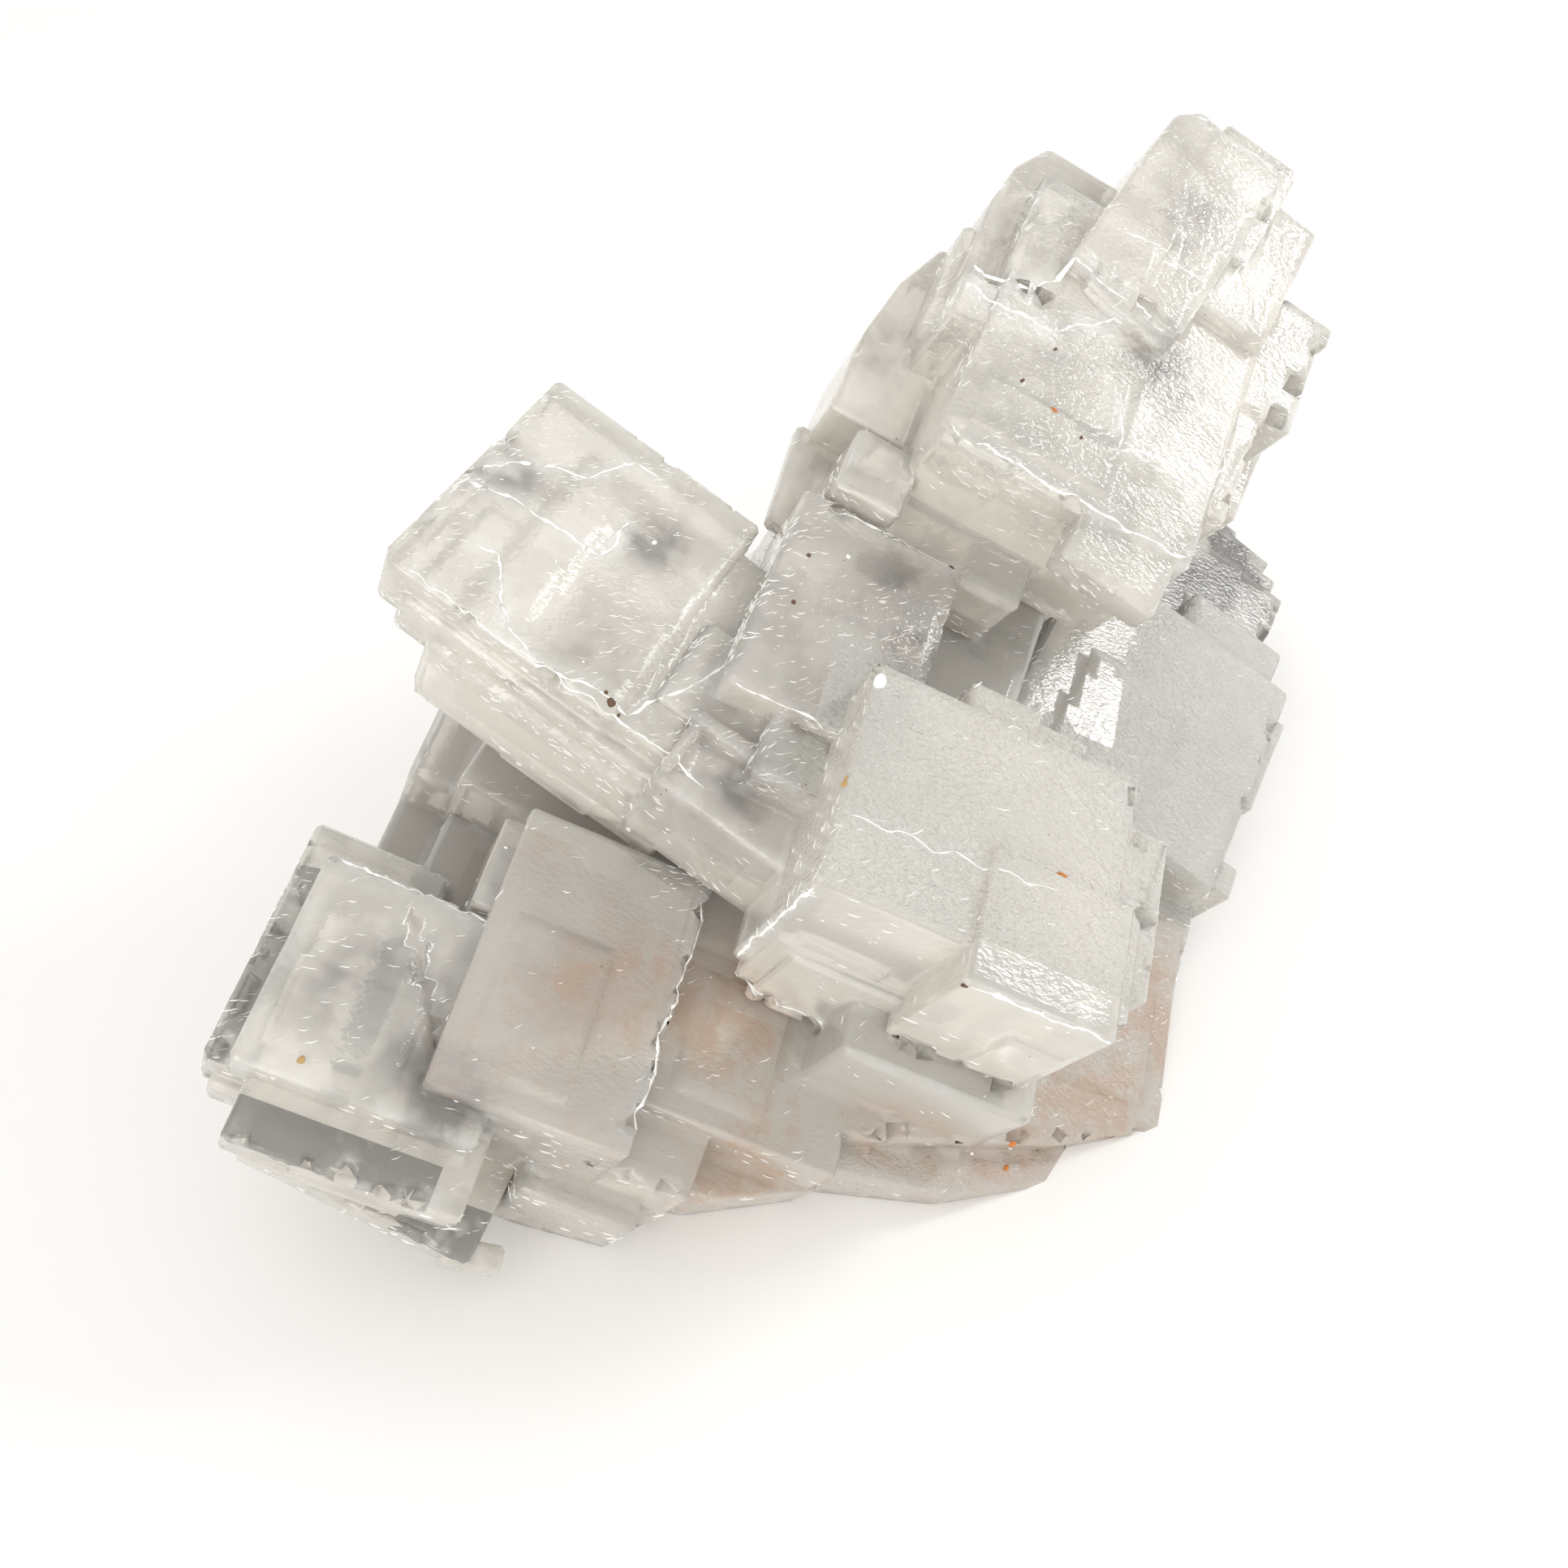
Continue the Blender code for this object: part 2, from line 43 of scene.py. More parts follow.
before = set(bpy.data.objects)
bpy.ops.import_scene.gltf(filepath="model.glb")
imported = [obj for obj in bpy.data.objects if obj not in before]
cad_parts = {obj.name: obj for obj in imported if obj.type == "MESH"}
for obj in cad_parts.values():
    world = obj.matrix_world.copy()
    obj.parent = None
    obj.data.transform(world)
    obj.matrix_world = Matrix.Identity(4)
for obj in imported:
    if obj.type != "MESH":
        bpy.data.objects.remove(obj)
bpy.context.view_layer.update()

MM = 0.001
CLUSTER_NODE = "halite_cluster"
BODY = "root"
CLUSTER_NAME = "crystal_cluster"

# Preparing the mesh. The first slice is a share of the grain, and all noise scales are in waves to a metre.
SAME_PLACE = 0.0002 * MM
SHORT_EDGE = 0.001 * MM
THIN_PLATE = 0.23 * MM
LOW_STEP = 0.45 * MM
FIRST_SLICE = 0.37
FLAT_ANGLE = math.radians(0.3)
EDGE_ANGLE = math.radians(24.0)
SMOOTH_ANGLE = math.radians(32.0)
EDGE_STEP = 0.5 * MM
RESTING_BAND = 0.3 * MM
SWELL_SCALE = 260.0
NIBBLE_SCALE = 900.0

# Finish values on the mesh. The open shares are the crumbs and dust that lie away from the valleys.
INSIDE_STEP = 0.35
PATCH_SPREAD = 1.6
VEIN_SPREAD = 1.8
DUST_FLOOR = 1.5 * MM
OPEN_CRUMBS = 0.25
OPEN_DUST = 0.4

# Ridges and raised veins.
RIDGE_DIRECTION = (0.656, 0.755, 0.0)
RIDGE_FOOT = 0.03 * MM
RIDGE_HEIGHT = 0.06 * MM
RIDGE_HALF_WIDTH = 0.045 * MM
RIDGE_PATCHES = 230.0
VEIN_STEP = 0.35 * MM
VEIN_SWAY = 0.45 * MM
VEIN_SWAY_SCALE = 700.0
VEIN_GAP_SCALE = 1900.0
VEIN_HALF_WIDTH = 0.22 * MM
VEIN_THINNEST = 0.35
VEIN_SWELL = 1.3
VEIN_TIP = 0.15

# Crumbs, dust and foreign grains.
CRUMB_LIFT = 0.17 * MM
CRUMB_PATCHES = 180.0
DUST_PATCHES = 120.0
SPECK_LUMP = 0.5
SPECK_LUMP_SCALE = 2100.0
GRAIN_SHAPE = (1.15, 0.85, 0.55)
GRAIN_LUMP = 0.55
GRAIN_LUMP_SCALE = 1500.0
GRAIN_VARIETY = 4000.0
SCATTER_LIMITS = (0.42, 0.62)

# The salt. Each cloud range is how much of a finish shows in the clearest and in the cloudiest places.
ABSORPTION_COLOUR = (0.88, 0.80, 0.64, 1.0)
# Colour that makes the salt darker near the valleys between crystals.
VALLEY_DARK_COLOUR = (0.45, 0.38, 0.32, 1.0)
# White for the healed cracks and the outer edges; on the edges it is partly chipped salt and partly a painted
# edge highlight.
EDGE_AND_VEIN_WHITE = (1.0, 1.0, 0.99, 1.0)
# The grey smoke is partly haze and partly painted dark refraction, where the salt shows its dark
# surroundings.
SMOKE_AND_DARK_REFRACTION_SCALE = 260.0
SMOKE_AND_DARK_REFRACTION_LIMITS = (0.36, 0.66)
MILK_SCALE = 420.0
MILK_LIMITS = (0.38, 0.68)
CLOUD_RANGES = {"milk": (0.65, 1.25), "smoke": (0.10, 0.85), "clay": (0.25, 1.2)}
SOFT_RANGE = (0.65, 1.1)
VEIN_RANGE = (0.35, 1.0)
# Range of the edge whitening, which is partly a painted edge highlight.
EDGE_WHITENING_RANGE = (0.10, 0.55)
# Share of the smoke, which is partly painted dark refraction.
SMOKE_AND_DARK_REFRACTION_COVER = 0.82
CLAY_COVER = 0.78
# Share of the darkening near the valleys.
VALLEY_DARK_COVER = 0.10
CLEAR_ROUGHNESS = 0.05
MILK_ROUGHNESS = 0.03
WORN_ROUGHNESS = 0.30
RIPPLE_TURN = 0.6
RIPPLE_SCALES = (2000.0, 3300.0, 2000.0)
RIPPLE_MICRONS = 300.0
VEIN_MICRONS = 60.0
MICRON = 0.000001

# The crystals grow in four lattices. The main one has its origin at the near cube's top corner.
NEAR_CORNER = (2.04, -12.99, 33.4)
LATTICE_TILT = (10.6, 24.7, -10.2)
LATTICE_PLACES = {
    "main": ((0.0, 0.0, 0.0), 0.0, 0.0),
    "west": ((-24.9, 15.6, -7.0), -14.0, 0.0),
    "tower": ((-1.3, 15.9, 4.0), -3.0, 12.0),
    "east": ((19.0, 28.6, -15.0), -14.0, 0.0),
}

# How each crystal is finished, from 0 to 1. The first box that holds a face is its crystal, and the roots
# take every other face. Smoke over 1 is solid, where less lets the clouds show. The smoke is partly grey haze
# and partly painted dark refraction, and the solid strips are painted dark refraction bands.
FINISH_NAMES = ("milk", "smoke", "clay", "ripple", "scratches")
Crystal = namedtuple("Crystal", ("name", "lattice", "low", "high", *FINISH_NAMES))
CRYSTALS = (
    # The strips and the left edge carry solid smoke: painted dark refraction bands, where the salt shows its
    # dark surroundings.
    Crystal("sill strip", "main", (-24.6, -35.5, -21.4), (-11.5, -33.1, -20.3), 0.0, 9.0, 0.0, 0.1, 0.2),
    Crystal("sill wall", "main", (-24.8, -36.2, -24.4), (-9.2, -34.9, -21.1), 0.1, 0.3, 0.1, 0.1, 0.2),
    Crystal("base strip", "main", (-12.5, -37.0, -28.8), (-6.0, -33.0, -27.0), 0.0, 6.0, 0.0, 0.1, 0.4),
    Crystal("left strip", "main", (-28.5, -31.2, -24.9), (-25.3, -17.0, -23.4), 0.05, 3.0, 0.0, 0.1, 1.0),
    Crystal("left edge", "main", (-28.5, -33.0, -30.5), (-26.8, -28.5, -24.6), 0.05, 4.0, 0.0, 0.1, 0.6),
    Crystal("near cube", "main", (-1.5, -15.5, -7.6), (24.0, 4.0, 2.0), 0.8, 0.0, 0.0, 1.0, 0.25),
    Crystal("near sole", "main", (-1.5, -17.4, -18.5), (24.0, 4.0, 1.0), 0.7, 0.0, 0.0, 0.15, 0.1),
    Crystal("near foot", "main", (6.5, -21.5, -21.0), (24.0, -9.0, 1.0), 0.25, 0.0, 0.06, 0.1, 0.1),
    Crystal("hopper", "west", (19.0, -22.0, -10.0), (34.0, -14.8, 1.0), 0.35, 0.3, 0.1, 0.2, 0.8),
    Crystal("west cube", "west", (-2.0, -22.0, -6.2), (33.0, 2.0, 1.5), 0.3, 0.22, 0.05, 0.25, 1.0),
    Crystal("west back", "west", (-2.0, -24.0, -12.0), (33.0, 2.0, 1.5), 0.65, 0.0, 0.02, 0.1, 0.2),
    Crystal("bridge", "main", (-9.0, -9.0, -20.0), (6.4, 16.0, -3.0), 0.3, 0.34, 0.24, 0.2, 0.9),
    Crystal("spire", "tower", (4.0, 14.0, -9.0), (20.0, 36.0, 3.0), 0.45, 0.1, 0.04, 0.25, 0.6),
    Crystal("tower face", "tower", (-4.5, -5.0, -3.2), (26.0, 26.0, 1.5), 0.45, 0.3, 0.0, 0.25, 0.9),
    Crystal("crown", "tower", (-4.5, 9.0, -13.0), (26.0, 30.0, -2.0), 0.4, 0.15, 0.02, 0.2, 0.4),
    Crystal("wing", "tower", (-7.5, -4.0, -24.0), (4.0, 27.0, -2.0), 0.35, 0.2, 0.05, 0.1, 0.2),
    Crystal("tower side", "tower", (-4.5, -5.0, -24.0), (26.0, 27.0, 1.5), 0.4, 0.15, 0.05, 0.15, 0.3),
    Crystal("east shelf", "east", (4.0, 4.6, -18.0), (20.0, 21.0, -1.0), 0.1, 0.85, 0.05, 0.15, 0.4),
    Crystal("east cube", "east", (-2.0, -21.0, -18.0), (24.0, 9.0, 1.5), 0.6, 0.05, 0.0, 0.6, 0.2),
    Crystal("corner", "main", (-29.0, -38.0, -24.5), (-9.4, -13.0, -17.0), 0.5, 0.34, 0.02, 0.2, 0.28),
    Crystal("corner left", "main", (-29.0, -38.0, -31.0), (-17.0, -13.0, -17.0), 0.15, 0.35, 0.02, 0.1, 0.5),
    Crystal("corner sole", "main", (-29.0, -38.0, -60.0), (-5.6, -24.0, -17.0), 0.05, 0.3, 0.08, 0.1, 0.3),
    Crystal("middle", "main", (-17.0, -32.5, -60.0), (-1.6, -9.5, -15.0), 0.6, 0.08, 0.32, 0.25, 0.12),
    Crystal("middle toe", "main", (-6.0, -33.0, -60.0), (4.4, -23.0, -18.0), 0.5, 0.05, 0.25, 0.15, 0.25),
    Crystal("inner", "main", (-4.0, -30.0, -60.0), (13.0, -7.0, -17.5), 0.45, 0.05, 0.5, 0.2, 0.2),
    Crystal("base", "main", (8.0, -26.0, -60.0), (38.0, 8.0, -17.5), 0.55, 0.0, 0.45, 0.6, 0.25),
    Crystal("gap", "main", (-24.5, -14.0, -60.0), (-9.0, 6.0, -20.0), 0.8, 0.0, 0.12, 0.1, 0.2),
    # The valley's milk is partly white haze and partly painted light that lifts the shade in this recess.
    Crystal("valley", "main", (1.0, -3.0, -32.0), (18.0, 23.0, -11.0), 0.9, 0.0, 0.04, 0.1, 0.1),
)
ROOTS = Crystal("roots", "main", (0.0, 0.0, 0.0), (0.0, 0.0, 0.0), 0.4, 0.12, 0.2, 0.3, 0.2)

# Soft patches inside the crystals: smoke is partly grey haze and partly painted dark refraction, clay is a
# pinkish stain and milk is white haze.
Patch = namedtuple("Patch", "kind lattice at radius strength")
PATCHES = (
    Patch("smoke", "west", (12.0, -6.8, 0.0), 2.2, 1.0),
    Patch("smoke", "west", (1.2, -9.6, 0.0), 2.4, 0.8),
    Patch("smoke", "west", (3.4, -8.6, 0.0), 1.8, 0.5),
    Patch("smoke", "west", (13.6, -17.6, 0.0), 3.4, 0.3),
    Patch("smoke", "tower", (13.1, 14.0, 0.0), 3.2, 0.75),
    Patch("smoke", "tower", (10.4, 25.4, 2.0), 4.2, 0.6),
    Patch("smoke", "tower", (1.5, 20.0, -3.0), 3.6, 0.6),
    Patch("smoke", "tower", (-4.1, 9.0, -8.0), 3.0, 0.5),
    Patch("smoke", "tower", (5.0, 10.4, 0.0), 2.8, 0.3),
    Patch("smoke", "main", (2.7, 9.0, -4.0), 4.2, 0.75),
    Patch("smoke", "main", (4.4, 3.0, -4.0), 3.0, 0.6),
    Patch("smoke", "main", (10.4, 15.0, -12.0), 2.6, 0.3),
    Patch("smoke", "east", (13.0, 14.0, -2.0), 4.0, 0.9),
    Patch("smoke", "east", (10.6, 10.9, -2.0), 3.0, 0.7),
    Patch("smoke", "east", (10.7, 19.0, -2.6), 3.0, 0.9),
    Patch("smoke", "main", (-19.0, -24.4, -18.0), 3.2, 0.55),
    Patch("smoke", "main", (-16.0, -28.0, -18.0), 2.4, 0.45),
    Patch("smoke", "main", (-21.9, -26.0, -18.0), 3.0, 0.45),
    Patch("smoke", "main", (-12.6, -29.8, -18.0), 3.0, 0.9),
    Patch("smoke", "main", (-26.0, -24.0, -24.0), 3.6, 0.9),
    Patch("smoke", "main", (-9.7, -20.5, -16.0), 3.0, 0.25),
    Patch("smoke", "west", (25.6, -18.6, -0.5), 3.2, 0.6),
    Patch("clay", "main", (-7.6, -21.5, -16.0), 4.0, 0.8),
    Patch("clay", "main", (-3.6, -19.0, -16.0), 3.0, 0.5),
    Patch("clay", "main", (1.6, -16.4, -18.3), 4.6, 1.0),
    Patch("clay", "main", (6.0, -26.4, -22.0), 4.0, 0.9),
    Patch("clay", "main", (15.9, -18.8, -18.5), 4.0, 0.9),
    Patch("clay", "main", (30.0, -14.1, -18.5), 4.0, 0.9),
    Patch("clay", "main", (33.5, -5.0, -18.5), 4.0, 1.0),
    Patch("clay", "main", (24.0, -19.6, -20.6), 5.0, 0.6),
    Patch("milk", "main", (2.6, -3.4, 0.0), 3.6, 0.5),
    Patch("milk", "main", (4.0, -14.0, -4.0), 5.0, 0.6),
    Patch("milk", "main", (-18.0, -22.0, -18.0), 3.4, 0.5),
    Patch("milk", "east", (14.4, -1.4, 0.0), 5.0, 1.0),
    Patch("milk", "west", (22.0, -19.0, -4.0), 6.0, 0.5),
    Patch("milk", "main", (-13.0, -14.0, -16.0), 4.0, 0.4),
)

# Healed cracks, which show as white lines on the faces: their points, their width and how white they are.
Vein = namedtuple("Vein", "lattice points width strength")
VEINS = (
    Vein("west", ((0.2, -10.0, 0.0), (3.0, -7.2, 0.0), (6.0, -5.7, 0.0)), 0.55, 0.9),
    Vein("west", ((6.0, -5.7, 0.0), (7.5, -2.3, 0.0), (9.4, -2.0, 0.0)), 0.55, 0.9),
    Vein("west", ((0.6, -11.5, 0.0), (4.4, -10.7, 0.0), (10.1, -10.2, 0.0), (9.8, -6.8, 0.0)), 0.5, 1.0),
    Vein("west", ((3.6, -15.1, 0.0), (4.8, -14.8, 0.0), (6.3, -16.3, 0.0), (8.3, -18.6, 0.0)), 0.55, 1.0),
    Vein("west", ((8.3, -18.6, 0.0), (11.1, -19.4, 0.0), (15.1, -18.5, 0.0), (17.3, -18.5, 0.0)), 0.6, 0.8),
    Vein("west", ((17.3, -18.5, 0.0), (19.6, -14.0, 0.2), (21.1, -10.8, 0.2), (22.0, -7.1, 0.2)), 0.5, 0.9),
    Vein("west", ((1.5, -19.5, 0.0), (5.2, -19.6, 0.0), (11.0, -19.6, 0.0), (23.7, -19.2, 0.0)), 0.45, 0.6),
    Vein("tower", ((-1.9, 11.7, 0.0), (1.3, 10.9, 0.0), (4.6, 11.7, 0.0), (9.0, 15.4, 0.4)), 1.2, 0.9),
    Vein("tower", ((-2.4, 13.2, 0.0), (2.0, 13.3, 0.0), (3.6, 16.6, 1.4), (12.9, 15.2, 1.4)), 0.8, 0.9),
    Vein("tower", ((0.4, 0.6, 0.0), (10.5, 0.5, 0.0), (19.2, 0.8, 0.0)), 0.6, 0.8),
    Vein("tower", ((14.2, 6.8, 0.0), (19.5, 7.2, 0.0), (20.4, 12.8, 0.0)), 0.8, 0.7),
    Vein("tower", ((10.8, 8.9, 0.0), (12.0, 5.6, 0.0), (14.2, 6.8, 0.0)), 0.7, 0.7),
    Vein("tower", ((6.0, 20.2, 1.4), (9.3, 20.6, 1.4), (14.4, 19.8, 1.4)), 0.5, 0.7),
    Vein("tower", ((13.2, 16.5, 1.4), (15.4, 24.8, 1.4), (16.2, 31.0, 1.4)), 0.9, 0.8),
    Vein("tower", ((7.0, 32.6, 1.6), (11.5, 33.0, 1.6), (15.8, 33.0, 1.6)), 0.8, 0.8),
    Vein("main", ((1.0, -11.1, 0.0), (7.6, -10.8, 0.0), (14.5, -10.3, 0.0)), 0.35, 0.5),
    Vein("main", ((0.2, -15.9, -1.0), (0.2, -15.9, -13.8)), 0.6, 0.9),
    Vein("main", ((0.4, -16.4, -16.0), (8.0, -16.6, -16.4)), 0.8, 1.0),
    Vein("main", ((10.2, -18.2, 0.0), (19.6, -18.2, 0.0)), 0.6, 0.9),
    Vein("main", ((-2.0, -12.0, -16.0), (-2.0, -20.0, -16.0), (-2.0, -28.0, -16.0)), 0.9, 0.9),
    Vein("main", ((-25.2, -18.2, -18.0), (-18.0, -18.0, -18.0), (-13.0, -18.6, -18.0)), 0.8, 0.8),
    Vein("main", ((-7.4, -3.4, -4.0), (-1.0, -3.6, -4.0), (4.4, -3.4, -4.0)), 0.6, 0.5),
    Vein("main", ((-5.0, 13.0, -4.0), (0.0, 13.6, -4.0), (4.4, 13.2, -4.0)), 1.3, 0.8),
)

# Foreign grains on the faces: what they are, where they sit and how wide they are, in millimetres.
Grain = namedtuple("Grain", "kind lattice at size")
GRAINS = (
    Grain("rust", "main", (14.7, -9.0, 0.0), 0.62),
    Grain("rust", "main", (24.3, -19.2, -18.5), 0.5),
    Grain("rust", "main", (24.9, -19.7, -20.6), 0.36),
    Grain("rust", "tower", (6.5, 5.6, 0.0), 0.46),
    Grain("umber", "main", (7.1, -23.3, -0.4), 0.4),
    Grain("umber", "tower", (3.8, 6.6, 0.0), 0.34),
    Grain("umber", "tower", (9.0, 4.9, 0.0), 0.3),
    Grain("umber", "tower", (5.1, 10.2, 0.0), 0.3),
    Grain("umber", "main", (-5.4, 4.3, -4.0), 0.36),
    Grain("umber", "main", (-5.4, 8.4, -4.0), 0.34),
    Grain("umber", "main", (4.5, 13.7, -4.0), 0.38),
    Grain("umber", "west", (16.2, -18.7, -0.5), 0.6),
    Grain("umber", "west", (15.6, -18.3, -0.5), 0.34),
    Grain("umber", "west", (16.9, -18.9, -0.5), 0.3),
    Grain("ochre", "main", (-2.7, -9.2, 0.0), 0.46),
    Grain("ochre", "main", (-1.3, -8.8, 0.0), 0.34),
    Grain("ochre", "main", (-21.9, -30.6, -18.0), 0.5),
    Grain("chalk", "main", (0.4, -1.6, 0.0), 0.95),
    Grain("chalk", "west", (12.0, -6.8, 0.0), 0.36),
)
GRAIN_KINDS = ("rust", "umber", "ochre", "chalk")

# One colour and one roughness for each flat finish.
PLAIN_FINISHES = {
    "ridge salt": ((0.96, 0.955, 0.94, 1.0), 0.25),
    "vein salt": ((0.97, 0.965, 0.95, 1.0), 0.3),
    "crumb salt": ((0.95, 0.94, 0.92, 1.0), 0.22),
    "brown dust": ((0.16, 0.10, 0.06, 1.0), 0.8),
    "rust": ((0.60, 0.20, 0.04, 1.0), 0.6),
    "umber": ((0.13, 0.075, 0.045, 1.0), 0.7),
    "ochre": ((0.50, 0.33, 0.13, 1.0), 0.7),
    "chalk": ((0.97, 0.965, 0.95, 1.0), 0.5),
    "pale floor": ((0.93, 0.93, 0.93, 1.0), 0.9),
}


def lattice_matrices():
    """World matrices of the four lattices, whose own units are millimetres."""
    tilt = Matrix.Identity(4)
    for axis, angle in zip("XYZ", LATTICE_TILT):
        tilt = Matrix.Rotation(math.radians(angle), 4, axis) @ tilt
    main = Matrix.Scale(MM, 4) @ Matrix.Translation(NEAR_CORNER) @ tilt
    matrices = {}
    for name, (at, turn, pitch) in LATTICE_PLACES.items():
        spin = Matrix.Rotation(math.radians(pitch), 4, "X") @ Matrix.Rotation(math.radians(turn), 4, "Z")
        matrices[name] = main @ Matrix.Translation(at) @ spin
    return matrices


LATTICES = lattice_matrices()


def lattice_point(lattice, at):
    """The world place of a point that is given in one lattice's own millimetres."""
    return LATTICES[lattice] @ Vector(at)


class HaliteSettings(bpy.types.PropertyGroup):
    """Sizes, colours and amounts of the cluster's finish."""

    grain: FloatProperty(
        name="Mesh grain",
        description="Spacing of the grid that the crystal faces are cut into",
        default=1.1 * MM,
        unit="LENGTH",
    )
    undulation: FloatProperty(
        name="Undulation",
        description="How far the faces swell and sink",
        default=0.05 * MM,
        unit="LENGTH",
    )
    edge_nibble: FloatProperty(
        name="Edge nibble",
        description="How deep the worn edges are nibbled",
        default=0.06 * MM,
        unit="LENGTH",
    )
    # Reach of the edge whitening, which is partly a painted highlight, and of the darkening near the valleys.
    edge_reach: FloatProperty(
        name="Edge reach",
        description="How far wear and dirt spread from an edge",
        default=0.9 * MM,
        unit="LENGTH",
    )
    salt_colour: FloatVectorProperty(
        name="Salt",
        description="Colour of clear salt",
        subtype="COLOR",
        size=4,
        default=(0.92, 0.89, 0.825, 1.0),
    )
    milk_colour: FloatVectorProperty(
        name="Milk",
        description="Colour of hazy salt",
        subtype="COLOR",
        size=4,
        default=(0.97, 0.945, 0.895, 1.0),
    )
    # The smoke colour is partly grey haze and partly painted dark refraction.
    smoke_and_dark_refraction_colour: FloatVectorProperty(
        name="Smoke",
        description="Colour of the grey haze",
        subtype="COLOR",
        size=4,
        default=(0.20, 0.20, 0.20, 1.0),
    )
    clay_colour: FloatVectorProperty(
        name="Clay",
        description="Colour of the clay stain",
        subtype="COLOR",
        size=4,
        default=(0.86, 0.63, 0.48, 1.0),
    )
    transmission: FloatProperty(
        name="Transmission",
        description="Share of the light that goes through the salt",
        subtype="FACTOR",
        default=0.50,
    )
    refraction: FloatProperty(
        name="Index of refraction",
        description="Index of refraction of halite",
        default=1.544,
    )
    absorption: FloatProperty(
        name="Absorption",
        description="Density of the salt's absorption, per metre",
        default=6.0,
    )
    ridge_density: FloatProperty(
        name="Scratch ridges",
        description="Ridges to a square metre of scratched face",
        default=2500000.0,
    )
    crumb_density: FloatProperty(
        name="Salt crumbs",
        description="Crumbs to a square metre of face",
        default=12000.0,
    )
    dust_density: FloatProperty(
        name="Dust",
        description="Dust grains to a square metre of face",
        default=22000.0,
    )
    seed: IntProperty(
        name="Seed",
        description="Seed of everything scattered",
        default=7,
    )


# Building the mesh


def merged_copy(node):
    """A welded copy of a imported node's mesh, whose thinnest growth plates run smoothly into their faces."""
    shape = bmesh.new()
    shape.from_mesh(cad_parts[node].data)
    bmesh.ops.remove_doubles(shape, verts=shape.verts, dist=SAME_PLACE)
    bmesh.ops.remove_doubles(shape, verts=shape.verts, dist=THIN_PLATE)
    bmesh.ops.dissolve_degenerate(shape, edges=shape.edges, dist=SHORT_EDGE)
    bmesh.ops.dissolve_limit(
        shape, angle_limit=FLAT_ANGLE, verts=shape.verts, edges=shape.edges, delimit={"NORMAL"}
    )
    return shape


def slice_on_lattice(shape, grain):
    """Cuts the faces into a fine grid that follows the crystal axes."""
    unlattice = LATTICES["main"].inverted()
    corners = [unlattice @ vertex.co for vertex in shape.verts]
    for axis in range(3):
        along = LATTICES["main"].to_3x3().col[axis].normalized()
        reach = [corner[axis] * MM for corner in corners]
        step = min(reach) + grain * FIRST_SLICE
        while step < max(reach):
            everything = [*shape.verts, *shape.edges, *shape.faces]
            place = lattice_point("main", (0.0, 0.0, 0.0)) + along * step
            bmesh.ops.bisect_plane(shape, geom=everything, dist=SHORT_EDGE, plane_co=place, plane_no=along)
            step += grain
    bmesh.ops.triangulate(shape, faces=shape.faces)


def is_low_step(edge):
    """Whether an edge belongs to the riser of a thin growth plate."""
    return min(face.calc_area() / edge.calc_length() for face in edge.link_faces) < LOW_STEP


def edge_trees(shape, step):
    """Nearest-point trees of the crystals' worn outer edges and of the valleys between them."""
    ridges = []
    valleys = []
    for edge in shape.edges:
        if len(edge.link_faces) == 2 and edge.calc_face_angle() > EDGE_ANGLE and not is_low_step(edge):
            places = ridges if edge.is_convex else valleys
            start, end = (vertex.co for vertex in edge.verts)
            count = math.ceil(edge.calc_length() / step)
            places.extend(start.lerp(end, index / count) for index in range(count + 1))
    trees = []
    for places in (ridges, valleys):
        tree = kdtree.KDTree(len(places))
        for index, place in enumerate(places):
            tree.insert(place, index)
        tree.balance()
        trees.append(tree)
    return trees


def nearness(distance, reach):
    """One on the spot, none past the reach, with a soft shoulder between them."""
    share = np.clip(1.0 - distance / reach, 0.0, 1.0)
    return share * share * (3.0 - 2.0 * share)


def distance_to_stretch(places, start, end):
    """Distance of each place from the straight stretch between two points."""
    along = end - start
    share = np.clip((places - start) @ along / (along @ along), 0.0, 1.0)
    return np.linalg.norm(places - start - share[:, None] * along, axis=1)


def in_lattice(places, lattice):
    """The places in one lattice's own millimetres."""
    matrix = np.array(LATTICES[lattice].inverted())
    return places @ matrix[:3, :3].T + matrix[:3, 3]


def crystal_values(centres, normals):
    """Each face's finish, read a little way in from the face, because neighbours touch there."""
    inside = centres - normals * INSIDE_STEP * MM
    values = np.tile(np.array(ROOTS[4:], float), (len(centres), 1))
    by_lattice = {name: in_lattice(inside, name) for name in LATTICES}
    for crystal in reversed(CRYSTALS):
        places = by_lattice[crystal.lattice]
        held = np.all((places >= crystal.low) & (places <= crystal.high), axis=1)
        values[held] = crystal[4:]
    return values


def store(mesh, name, domain, values):
    """Keeps one number for each face or vertex on the mesh, where the materials read it."""
    attribute = mesh.attributes.new(name, "FLOAT", domain)
    attribute.data.foreach_set("value", np.ascontiguousarray(values, np.float32))


